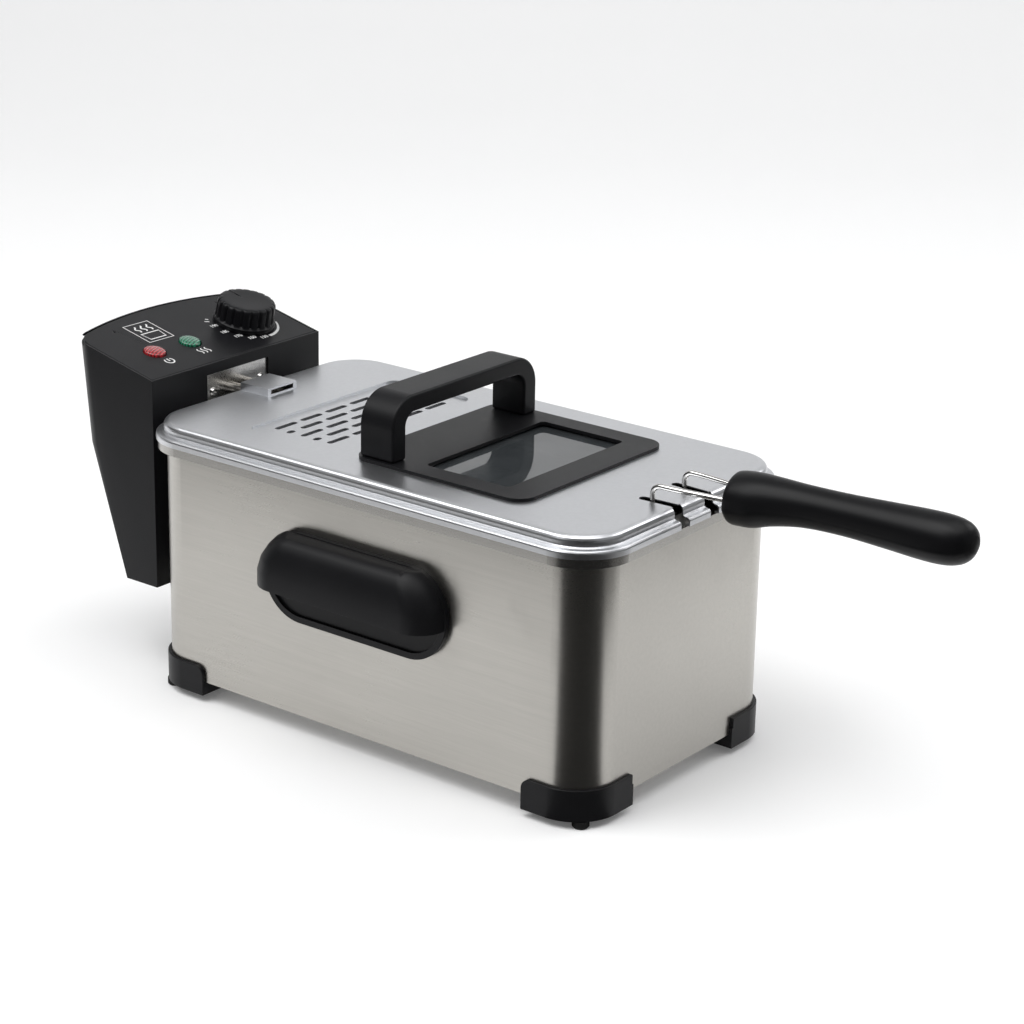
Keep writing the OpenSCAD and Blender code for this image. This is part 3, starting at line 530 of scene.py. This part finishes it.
def spline(stations: Sequence[Sequence[float]], s: float) -> list[float]:
    """Smooth value between stations.

    Args:
        stations: rows of (position, value, value, ...), in rising order of position.
        s: position asked for.

    Returns:
        The values at s.
    """
    last = len(stations) - 1
    i = max(0, min(last - 1, sum(1 for row in stations[1:-1] if row[0] <= s)))
    rows = [stations[max(0, min(last, i + k))] for k in (-1, 0, 1, 2)]
    span = rows[2][0] - rows[1][0]
    t = min(1.0, max(0.0, (s - rows[1][0]) / span))
    out = []
    for k in range(1, len(rows[0])):
        slope_a = (rows[2][k] - rows[0][k]) / max(1e-9, rows[2][0] - rows[0][0]) * span
        slope_b = (rows[3][k] - rows[1][k]) / max(1e-9, rows[3][0] - rows[1][0]) * span
        a, b = rows[1][k], rows[2][k]
        out.append((2 * t**3 - 3 * t**2 + 1) * a + (t**3 - 2 * t**2 + t) * slope_a
                   + (-2 * t**3 + 3 * t**2) * b + (t**3 - t**2) * slope_b)
    return out


# ------------------------------------------------------------------ sub-assemblies


@dataclass
class Casing:
    """Steel casing with its feet and carry handles."""

    finishes: Finishes
    edge: float = 0.9 * MM

    def build(self) -> None:
        """Dress the sheet metal and round the plastic parts."""
        f = self.finishes
        for node, finish in {"casing_shell": f.casing, "base_plate": f.plain, "head_guide": f.plain,
                             "rubber_pads": f.rubber, "carry_handle_screws": f.screw}.items():
            f.dress(node, finish)
        for node in ("foot_front_left", "foot_front_right", "foot_rear_left", "foot_rear_right"):
            Piece.finish(Piece.softened(node, self.edge, 3), f"{node}_moulding", "casing", f.charcoal,
                         "charcoal_plastic", (node,), even=True)
        for side in ("left", "right"):
            for part, width, angle in (("plate", 0.8, 32.0), ("hood", 1.2, 50.0)):
                node = f"carry_{part}_{side}"
                Piece.finish(Piece.softened(node, width * MM, 3, angle), f"{node}_moulding", "casing",
                             f.charcoal, "charcoal_plastic", (node,), even=True)


@dataclass
class ControlHead:
    """Control head with its panel, knob, lenses and print."""

    finishes: Finishes
    edge: float = 0.9 * MM
    digit_h: float = 3.3 * MM
    flutes: int = 20
    dial_r: float = 22.4
    arc_r: float = 22.3

    def __post_init__(self) -> None:
        """Find the panel's own frame from the knob's joint."""
        turn = next(j for j in frame["record"]["behaviour"]["joints"] if j["name"] == "knob_turn")
        self.normal = -Vector(turn["axis"]).normalized()
        self.centre = Vector(turn["pos_m"])
        self.rear = Vector((0, 1, 0)).cross(self.normal).normalized() * -1.0

    def spot(self, rear: float, side: float, lift: float = 0.0) -> Vector:
        """Point on the panel from the knob's centre, in millimetres."""
        return self.centre + self.rear * rear * MM + Vector((0, side * MM, 0)) + self.normal * lift * MM

    def ribbon(self, bm: bmesh.types.BMesh, path: Sequence[Pair], width: float,
               closed: bool = False) -> None:
        """Printed line along panel points, in millimetres.

        Args:
            bm: where the line is added.
            path: (rear, side) points from the knob's centre.
            width: line width.
            closed: whether the line joins up.
        """
        total = len(path)
        rows = []
        for i, (a, b) in enumerate(path):
            nxt = path[(i + 1) % total] if closed or i + 1 < total else path[i]
            prv = path[i - 1] if closed or i > 0 else path[i]
            run = Vector((nxt[0] - prv[0], nxt[1] - prv[1])).normalized()
            off = Vector((-run.y, run.x)) * width / 2
            rows.append([self.spot(a + k * off.x, b + k * off.y, z)
                         for k, z in ((-1, 0.01), (1, 0.01), (1, 0.09), (-1, 0.09))])
        if closed:
            rows.append(rows[0])
        Piece.loft(bm, rows, not closed)

    def digits(self, bm: bmesh.types.BMesh, text: str, rear: float, side: float) -> None:
        """Number of the dial, set flat on the panel."""
        curve = bpy.data.curves.new("dial_number", "FONT")
        curve.body, curve.size, curve.extrude = text, self.digit_h / MM * 1.3, 0.04
        curve.offset = 0.07
        curve.align_x, curve.align_y = "CENTER", "CENTER"
        holder = bpy.data.objects.new("dial_number", curve)
        bpy.context.scene.collection.objects.link(holder)
        bpy.context.view_layer.update()
        mesh = holder.evaluated_get(bpy.context.evaluated_depsgraph_get()).to_mesh().copy()
        bpy.data.objects.remove(holder)
        start = len(bm.verts)
        bm.from_mesh(mesh)
        bm.verts.ensure_lookup_table()
        for vert in bm.verts[start:]:
            x, y, z = vert.co
            vert.co = self.spot(rear + y, side + x, 0.05 + z)
        bpy.data.meshes.remove(mesh)

    def print_marks(self) -> None:
        """Dial scale, lamp symbols and the plain badge."""
        bm = bmesh.new()
        for text, angle in (("190", -76), ("180", -101), ("170", -125), ("150", -148), ("130", -170)):
            a = math.radians(angle)
            self.digits(bm, text, self.dial_r * math.cos(a), self.dial_r * math.sin(a))
        arc = [math.radians(a) for a in range(178, 112, -4)]
        for i in range(len(arc) - 1):
            wide = 2.2 - 1.2 * i / len(arc)
            self.ribbon(bm, [(self.arc_r * math.cos(a), self.arc_r * math.sin(a)) for a in arc[i:i + 2]],
                        wide)
        for angle, length in ((-60, 3.2), (-52, 2.2)):
            a = math.radians(angle)
            self.ribbon(bm, [(r * math.cos(a), r * math.sin(a)) for r in (23.0, 23.0 + length)], 0.9)
        self.ribbon(bm, self.circle(-17.5, -84.5, 3.1, 40, 320), 0.9)
        self.ribbon(bm, [(-14.6, -84.5), (-18.0, -84.5)], 0.9)
        for dy in (-3.2, 0.0, 3.2):
            wave = [(-20.6 + 6.4 * t / 8, -54.0 + dy + 0.8 * math.sin(t * math.pi / 4))
                    for t in range(9)]
            self.ribbon(bm, wave, 0.8)
        r0, r1, s0, s1 = 7.4, 31.8, -77.0, -56.0
        self.ribbon(bm, [(r0, s0), (r1, s0), (r1, s1), (r0, s1)], 0.7, True)
        pot = [(r0 + 3, s0 + 4), (r0 + 3, s1 - 4), (r0 + 11, s1 - 3), (r0 + 11, s0 + 3)]
        self.ribbon(bm, pot, 1.0, True)
        for k in (-5.0, 0.0, 5.0):
            rise = [(r0 + 13.5 + 7.5 * t / 8, (s0 + s1) / 2 + k + 1.1 * math.sin(t * math.pi / 3))
                    for t in range(9)]
            self.ribbon(bm, rise, 1.1)
        Piece.finish(bm, "panel_print", "head", self.finishes.ink, "panel_plastic")

    @staticmethod
    def circle(rear: float, side: float, radius: float, start: float, end: float) -> list[Pair]:
        """Points of an arc on the panel."""
        steps = 24
        turn = [math.radians(start + (end - start) * i / steps) for i in range(steps + 1)]
        return [(rear + radius * math.cos(a), side + radius * math.sin(a)) for a in turn]

    def lens(self, node: str, finish: bpy.types.Material, slot: str) -> None:
        """Domed and ribbed signal lens.

        Args:
            node: the lens it stands for.
            finish: its material.
            slot: the record's material slot.
        """
        low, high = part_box(node)
        middle = (low + high) / 2
        side = middle.y
        span = (high.y - low.y) / 2
        rear = (middle - self.centre).dot(self.rear) / MM
        radius = span / MM
        bm = bmesh.new()
        rings = []
        count = 48
        dome = ((-1.5, 1.0), (0.6, 1.0), (1.15, 0.95), (1.5, 0.82), (1.75, 0.6), (1.9, 0.3))
        for level, share in dome:
            ring = []
            for k in range(count):
                a = 2 * math.pi * k / count
                ripple = 1.0 - 0.014 * (k % 2)
                ring.append(self.spot(rear + radius * share * ripple * math.cos(a),
                                      (side - self.centre.y) / MM + radius * share * ripple * math.sin(a),
                                      level))
            rings.append(ring)
        Piece.loft(bm, rings)
        Piece.finish(bm, f"{node}_dome", "head", finish, slot, (node,), 60.0)

    def close_screw_holes(self, bm: bmesh.types.BMesh) -> None:
        """Draw each screw hole's rims together, so that the panel's face is whole."""
        low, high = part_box("housing_screws")
        middle = (low + high) / 2
        for sign in (-1, 1):
            axis = Vector((middle.x, sign * ((high.y - low.y) / 2 - 2.4 * MM), middle.z))
            levels: dict[int, list[bmesh.types.BMVert]] = {}
            for vert in bm.verts:
                off = vert.co - axis
                level = off.dot(self.normal)
                if (off - level * self.normal).length < 1.6 * MM:
                    levels.setdefault(round(level / (0.5 * MM)), []).append(vert)
            for rim in levels.values():
                middle_of_rim = sum((v.co for v in rim), Vector()) / len(rim)
                bmesh.ops.pointmerge(bm, verts=rim, merge_co=middle_of_rim)

    def blind_screws(self) -> None:
        """Screws that hold the panel from below and stop short of its top face."""
        low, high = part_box("housing_screws")
        span = (high.y - low.y) / 2 / MM - 2.4
        rear = ((low + high) / 2 - self.centre).dot(self.rear) / MM
        depth = ((low + high) / 2 - self.centre).dot(self.normal) / MM
        profile = ((-4.2, 0.7), (-4.2, 1.6), (-4.0, 2.3), (-3.2, 2.35), (-2.8, 1.2), (2.6, 1.1),
                   (3.0, 0.6))
        bm = bmesh.new()
        for sign in (-1, 1):
            rings = []
            side = sign * span - self.centre.y / MM
            for level, r in profile:
                rings.append([self.spot(rear + r * math.cos(a), side + r * math.sin(a), depth + level)
                              for a in (2 * math.pi * k / 20 for k in range(20))])
            Piece.loft(bm, rings)
        Piece.finish(bm, "panel_screws", "head", self.finishes.screw, "screw_steel", ("housing_screws",))

    def knob(self) -> None:
        """Fluted knob with a domed top and a pointer groove."""
        low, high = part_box("knob")
        radius = (high.y - low.y) / 2 / MM
        count = 240
        rings = []
        profile = ((0.6, 1.0, 0.0), (3.2, 1.0, 0.0), (3.9, 0.965, 0.2), (4.6, 0.95, 0.8),
                   (12.6, 0.94, 1.0),
                   (14.6, 0.925, 0.9), (15.5, 0.89, 0.7), (15.9, 0.84, 0.4), (16.0, 0.76, 0.15),
                   (15.95, 0.66, 0.0), (15.85, 0.48, 0.0), (15.75, 0.28, 0.0), (15.7, 0.1, 0.0))
        for level, share, flute in profile:
            ring = []
            for k in range(count):
                a = 2 * math.pi * k / count
                dip = max(0.0, math.cos(a * self.flutes)) ** 1.4 * 1.15 * flute
                r = radius * share - dip
                drop = 0.0
                if level > 15.0 and 8.0 < r < 16.6 and abs(r * math.sin(a)) < 0.75 and math.cos(a) > 0:
                    drop = 0.7
                ring.append(self.spot(r * math.cos(a), r * math.sin(a), level - drop))
            rings.append(ring)
        bm = bmesh.new()
        Piece.loft(bm, rings)
        Piece.finish(bm, "knob_moulding", "knob", self.finishes.knob, "knob_plastic", ("knob",), 40.0)

    def build(self) -> None:
        """Make every piece of the head."""
        f = self.finishes
        for node, finish in {
                "thermostat_body": f.cream, "thermostat_bulb": f.copper, "lamp_bodies": f.cream,
                "safety_switch": f.charcoal, "terminal_block": f.cream, "bracket_plate": f.plain,
                "bracket_screws": f.screw, "heating_element": f.element, "element_guard": f.plain,
                "cord_gland": f.rubber, "knob_shaft": f.screw,
                "reset_button": f.button, "switch_plunger": f.button}.items():
            f.dress(node, finish)
        Piece.finish(Piece.softened("head_housing", self.edge, 3, 40.0), "head_housing_moulding", "head",
                     f.charcoal, "charcoal_plastic", ("head_housing",), even=True)
        Piece.finish(Piece.softened("control_panel", 1.0 * MM, 3, 40.0, clamp=False,
                                    mend=self.close_screw_holes), "control_panel_moulding", "head",
                     f.panel, "panel_plastic", ("control_panel",), even=True)
        self.lens("lens_red", f.red, "red_lens")
        self.lens("lens_green", f.green, "green_lens")
        self.knob()
        self.blind_screws()
        self.print_marks()


@dataclass
class Basket:
    """Welded wire basket, its handle wires and the moulded grip."""

    finishes: Finishes
    pitch: float = 8.0 * MM
    strand: float = 0.55 * MM

    def outline(self, x0: float, x1: float, half: float, radius: float) -> Callable[[float], Vector]:
        """Path round a rounded rectangle.

        Args:
            x0: low end along X.
            x1: high end along X.
            half: half width along Y.
            radius: corner radius.

        Returns:
            A function from 0..1 to a point at height 0.
        """
        points: list[Vector] = []
        corners = ((x1 - radius, half - radius, 0), (x0 + radius, half - radius, 90),
                   (x0 + radius, -half + radius, 180), (x1 - radius, -half + radius, 270))
        for cx, cy, start in corners:
            for k in range(9):
                a = math.radians(start + 90 * k / 8)
                points.append(Vector((cx + radius * math.cos(a), cy + radius * math.sin(a), 0)))
        lengths = [0.0]
        for a, b in zip(points, points[1:] + points[:1]):
            lengths.append(lengths[-1] + (b - a).length)

        def at(share: float) -> Vector:
            """Point at a share of the way round."""
            want = (share % 1.0) * lengths[-1]
            i = max(k for k, v in enumerate(lengths[:-1]) if v <= want + 1e-12)
            a, b = points[i], points[(i + 1) % len(points)]
            return a.lerp(b, (want - lengths[i]) / max(1e-9, lengths[i + 1] - lengths[i]))

        at.total = lengths[-1]
        return at

    def cage(self) -> None:
        """Cage of welded wire: rings round the walls, uprights, and a floor grid."""
        low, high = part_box("basket_cage")
        inset = 0.7 * MM
        half = high.y - inset
        radius = 23 * MM
        at = self.outline(low.x + inset, high.x - inset, half, radius)
        bm = bmesh.new()
        rows = int((high.z - low.z) / self.pitch)
        for r in range(rows + 1):
            z = low.z + inset + (high.z - low.z - 2 * inset) * r / rows
            ring = [at(i / 160) + Vector((0, 0, z)) for i in range(160)]
            Piece.tube(bm, ring, self.strand, 5, True)
        count = int(at.total / self.pitch)
        for i in range(count):
            foot = at(i / count)
            Piece.tube(bm, [foot + Vector((0, 0, low.z + inset)), foot + Vector((0, 0, high.z - inset))],
                       self.strand, 5)
        floor = low.z + inset

        def reach(along: float, start: float, end: float) -> float:
            """How far the corner arc pulls a floor wire's end in."""
            over = max(0.0, radius - min(along - start, end - along))
            return radius - math.sqrt(max(0.0, radius**2 - over**2))

        x0, x1 = low.x + inset, high.x - inset
        for i in range(1, int((x1 - x0) / self.pitch)):
            x = x0 + i * self.pitch
            y = half - reach(x, x0, x1)
            Piece.tube(bm, [Vector((x, -y, floor)), Vector((x, y, floor))], self.strand, 5)
        for i in range(1, int(2 * half / self.pitch)):
            y = -half + i * self.pitch
            pull = reach(y, -half, half)
            Piece.tube(bm, [Vector((x0 + pull, y, floor + 2 * self.strand)),
                            Vector((x1 - pull, y, floor + 2 * self.strand))], self.strand, 5)
        Piece.finish(bm, "basket_weave", "basket", self.finishes.wire, "basket_wire",
                     ("basket_cage",), 80.0)

    def wires(self) -> None:
        """Handle wires: up through the lid's slots, over a bend and into the grip."""
        low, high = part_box("handle_wires")
        grip_low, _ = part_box("basket_grip")
        radius = 1.55 * MM
        rise = high.z - radius
        inside = grip_low.x + 0.010
        bm = bmesh.new()
        for sign in (-1, 1):
            y = sign * (high.y - radius)
            x = low.x + radius
            bend = 5.5 * MM
            path = [Vector((x, y, low.z + (rise - bend - low.z) * k / 6)) for k in range(7)]
            for k in range(1, 9):
                a = math.radians(90 * k / 8)
                path.append(Vector((x + bend * (1 - math.cos(a)), y, rise - bend + bend * math.sin(a))))
            start = path[-1]
            for k in range(1, 13):
                t = k / 12
                ease = t * t * (3 - 2 * t)
                path.append(Vector((start.x + (inside - start.x) * t, y - sign * 4.2 * MM * ease,
                                    rise + 0.2 * MM * t)))
            Piece.tube(bm, path, radius, 16)
        Piece.finish(bm, "handle_wire_pair", "basket", self.finishes.wire, "basket_wire",
                     ("handle_wires",), 70.0)

    def grip(self) -> None:
        """Moulded grip: blunt root, slim waist, fuller end and a rounded tip."""
        low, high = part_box("basket_grip")
        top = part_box("window_frame")[0].z / MM
        stations = ((0.0, 12.6, 11.9, 8.0), (0.006, 15.0, 14.3, 8.05), (0.018, 16.2, 15.3, 8.1),
                    (0.05, 16.6, 15.7, 8.6), (0.10, 16.6, 15.6, 9.3), (0.18, 14.3, 13.9, 11.2),
                    (0.31, 12.0, 12.0, 13.0), (0.48, 11.7, 11.7, 13.9), (0.66, 12.8, 12.8, 14.2),
                    (0.80, 13.8, 13.8, 14.3), (0.89, 13.7, 13.7, 14.5), (0.95, 12.0, 12.0, 14.9),
                    (0.985, 8.6, 8.6, 15.2), (1.0, 4.6, 4.6, 15.3))
        length = (high.x - low.x) / MM
        shares = [0.0, 0.003, 0.006, 0.010, 0.014, 0.019, 0.025] + [0.03 + 0.02 * k for k in range(46)]
        shares += [0.955, 0.965, 0.975, 0.982, 0.988, 0.993, 0.997, 1.0]
        rings = []
        sides = 64
        for s in sorted(set(shares)):
            wide, tall, rise = spline(stations, s)
            ring = []
            for k in range(sides):
                a = 2 * math.pi * k / sides
                c, d = math.cos(a), math.sin(a)
                crest = 0.965 + 0.035 * math.exp(-((d + 0.22) / 0.13) ** 2)
                ridge = math.copysign(abs(c) ** 1.10, c) * crest
                ring.append(Vector((low.x + s * length * MM, wide * ridge * MM,
                                    (top + rise + tall * math.copysign(abs(d) ** 0.94, d)) * MM)))
            rings.append(ring)
        bm = bmesh.new()
        Piece.loft(bm, rings)
        Piece.finish(bm, "grip_moulding", "basket", self.finishes.grip, "grip_plastic",
                     ("basket_grip",), 60.0)

    def build(self) -> None:
        """Make the basket's pieces."""
        f = self.finishes
        for node in ("basket_rim", "basket_bracket", "drain_hook"):
            f.dress(node, f.wire)
        self.cage()
        self.wires()
        self.grip()


@dataclass
class Lid:
    """Lid with its window, grille, frame and handle."""

    finishes: Finishes

    def build(self) -> None:
        """Dress the lid and round its plastic parts."""
        f = self.finishes
        for node, finish in {"lid_shell": f.lid, "filter_mesh": f.wool, "filter_retainer": f.plain,
                             "window_glass": f.glass, "window_gasket": f.rubber,
                             "window_retainer": f.plain,
                             "window_screws": f.screw, "lid_handle_screws": f.screw}.items():
            f.dress(node, finish)
        Piece.finish(Piece.softened("window_frame", 0.9 * MM, 4, 40.0), "window_frame_moulding", "lid",
                     f.charcoal, "charcoal_plastic", ("window_frame",), even=True)
        Piece.finish(Piece.softened("lid_handle", 1.6 * MM, 4, 50.0, clamp=False),
                     "lid_handle_moulding", "lid", f.charcoal, "charcoal_plastic", ("lid_handle",), even=True)


# ------------------------------------------------------------------ studio


@dataclass
class Studio:
    """Pale floor, soft boxes and the camera."""

    azimuth: float = 37.64
    elevation: float = 19.24
    roll: float = 1.11
    lens: float = 96.06
    distance: float = 1.60947
    aim: Sequence[float] = (-8.74, 7.41, 138.13)

    @staticmethod
    def place(bm: bmesh.types.BMesh, name: str, material: bpy.types.Material) -> bpy.types.Object:
        """Put a piece of studio in the scene.

        Args:
            bm: its geometry.
            name: object name.
            material: its surface.

        Returns:
            The new object.
        """
        mesh = bpy.data.meshes.new(name)
        bm.to_mesh(mesh)
        bm.free()
        obj = bpy.data.objects.new(name, mesh)
        bpy.context.scene.collection.objects.link(obj)
        mesh.materials.append(material)
        return obj

    def plain(self, name: str, colour: Colour, glow: float, rough: float = 0.9) -> bpy.types.Material:
        """Matte studio surface."""
        g = Graph(name)
        mottle = g.noise(3.0, detail=2.0)
        tone = mottle.ramp(0.2, 0.8).blend(tuple(c * 0.99 for c in colour), colour)
        return g.surface(Base_Color=tone, Roughness=rough, Emission_Color=tone, Emission_Strength=glow)

    def sweep(self) -> None:
        """Floor that curves up into a backdrop, square to the view."""
        bm = bmesh.new()
        turn = Matrix.Rotation(math.radians(self.azimuth), 4, "Z")
        profile = [(-4.0, 0.0), (1.6, 0.0)]
        profile += [(1.6 + 1.2 * math.sin(math.radians(a)), 1.2 - 1.2 * math.cos(math.radians(a)))
                    for a in range(10, 100, 10)]
        profile += [(2.8, 4.0)]
        rows = [[bm.verts.new(turn @ Vector((x, y, z))) for x in (-5.0, 5.0)] for y, z in profile]
        for a, b in zip(rows, rows[1:]):
            bm.faces.new((a[0], a[1], b[1], b[0]))
        for face in bm.faces:
            face.smooth = True
        self.place(bm, "studio_sweep", self.plain("studio_white", (0.93, 0.93, 0.93), 0.10))

    def card(self, name: str, azimuth: float, distance: float, width: float, height: float, base: float,
             colour: Colour, glow: float) -> None:
        """Upright card round the object.

        Args:
            name: object name.
            azimuth: direction from the object, as the camera's.
            distance: how far away it stands.
            width: its width.
            height: its height.
            base: height of its lower edge.
            colour: its colour.
            glow: how strongly it shines.
        """
        a = math.radians(azimuth)
        out = Vector((math.sin(a), -math.cos(a), 0))
        side = Vector((math.cos(a), math.sin(a), 0))
        bm = bmesh.new()
        corners = [out * distance + side * (k * width / 2) + Vector((0, 0, z))
                   for k, z in ((-1, base), (1, base), (1, base + height), (-1, base + height))]
        bm.faces.new([bm.verts.new(c) for c in corners])
        self.mirror_only(self.place(bm, name, self.plain(f"{name}_cloth", colour, glow)))

    @staticmethod
    def mirror_only(obj: bpy.types.Object) -> None:
        """Stage a piece of studio that only glossy surfaces see."""
        for sight in ("visible_camera", "visible_diffuse", "visible_shadow"):
            setattr(obj, sight, False)

    def flag(self, name: str, points: Sequence[Pair], height: float, tone: float) -> None:
        """Dark cloth lying on the floor.

        Args:
            name: object name.
            points: its corners in metres.
            height: how far above the floor it lies.
            tone: its grey value.
        """
        bm = bmesh.new()
        bm.faces.new([bm.verts.new((x, y, height)) for x, y in points])
        cloth = self.plain(f"{name}_cloth", (tone, tone * 0.97, tone * 0.93), 0.0)
        self.mirror_only(self.place(bm, name, cloth))

    def box(self, name: str, azimuth: float, elevation: float, distance: float, size: float,
            power: float) -> None:
        """Soft box aimed at the object.

        Args:
            name: lamp name.
            azimuth: direction from the object, as the camera's.
            elevation: height of that direction above the horizon.
            distance: how far away it stands.
            size: its side.
            power: its power in watts.
        """
        a, e = math.radians(azimuth), math.radians(elevation)
        out = Vector((math.sin(a) * math.cos(e), -math.cos(a) * math.cos(e), math.sin(e)))
        lamp = bpy.data.lights.new(name, "AREA")
        lamp.shape, lamp.size, lamp.energy = "SQUARE", size, power
        obj = bpy.data.objects.new(name, lamp)
        bpy.context.scene.collection.objects.link(obj)
        obj.location = out * distance + Vector((0, 0, 0.1))
        obj.rotation_mode = "QUATERNION"
        obj.rotation_quaternion = out.to_track_quat("Z", "Y")

    def camera(self) -> None:
        """Camera at the viewing angle of a three-quarter product shot."""
        a, e, r = (math.radians(v) for v in (self.azimuth, self.elevation, self.roll))
        back = Vector((math.sin(a) * math.cos(e), -math.cos(a) * math.cos(e), math.sin(e)))
        right = Vector((math.cos(a), math.sin(a), 0))
        up = back.cross(right)
        right, up = right * math.cos(r) + up * math.sin(r), up * math.cos(r) - right * math.sin(r)
        data = bpy.data.cameras.new("camera")
        data.lens, data.sensor_width = self.lens, 36.0
        data.shift_y = -0.0086
        data.clip_start, data.clip_end = 0.05, 50.0
        obj = bpy.data.objects.new("camera", data)
        bpy.context.scene.collection.objects.link(obj)
        aim = Vector(self.aim) * MM
        spot = aim + back * self.distance
        obj.matrix_world = Matrix(((right.x, up.x, back.x, spot.x), (right.y, up.y, back.y, spot.y),
                                   (right.z, up.z, back.z, spot.z), (0, 0, 0, 1)))
        bpy.context.scene.camera = obj

    def world(self) -> None:
        """Even pale sky."""
        world = bpy.data.worlds.new("studio_sky")
        world.use_nodes = True
        back = world.node_tree.nodes["Background"]
        back.inputs["Color"].default_value = (0.97, 0.98, 1.0, 1.0)
        back.inputs["Strength"].default_value = 0.27
        bpy.context.scene.world = world
        bpy.context.scene.view_settings.view_transform = "Standard"

    def build(self) -> None:
        """Set up the whole studio."""
        self.world()
        self.sweep()
        # Dark cards and cloths that only glossy surfaces see give the steel its contrast.
        self.card("dark_wall", 35.0, 2.6, 3.4, 2.6, 0.0, (0.02, 0.02, 0.02), 0.0)
        self.card("left_wall", -45.0, 3.0, 4.5, 1.5, 0.05, (0.03, 0.03, 0.03), 0.0)
        turns = [math.radians(a) for a in range(-14, 99, 8)]
        fan = [(0.10, -0.07)] + [(0.16 + 2.4 * math.sin(a), -0.13 - 2.4 * math.cos(a)) for a in turns]
        self.flag("dark_fan", fan, 0.0015, 0.004)
        self.flag("left_strip", [(-3.0, -3.0), (0.25, -3.0), (0.25, -0.44), (-3.0, -0.44)], 0.001, 0.10)
        self.flag("right_strip", [(0.40, -0.05), (3.0, -0.05), (3.0, 3.0), (0.40, 3.0)], 0.001, 0.10)
        self.box("key_box", -35.0, 55.0, 2.6, 1.8, 38.0)
        self.box("top_box", 60.0, 80.0, 2.4, 2.2, 27.0)
        self.box("rim_box", 150.0, 40.0, 2.8, 1.5, 17.0)
        self.camera()
        log.info("studio ready")


def main() -> None:
    """Build every sub-assembly in order, then the studio."""
    logging.basicConfig(level=logging.INFO, format="%(name)s: %(message)s")
    finishes = Finishes()
    Casing(finishes).build()
    finishes.dress("oil_tank", finishes.tank)
    ControlHead(finishes).build()
    Basket(finishes).build()
    Lid(finishes).build()
    Studio().build()


if __name__ == "__main__":
    main()
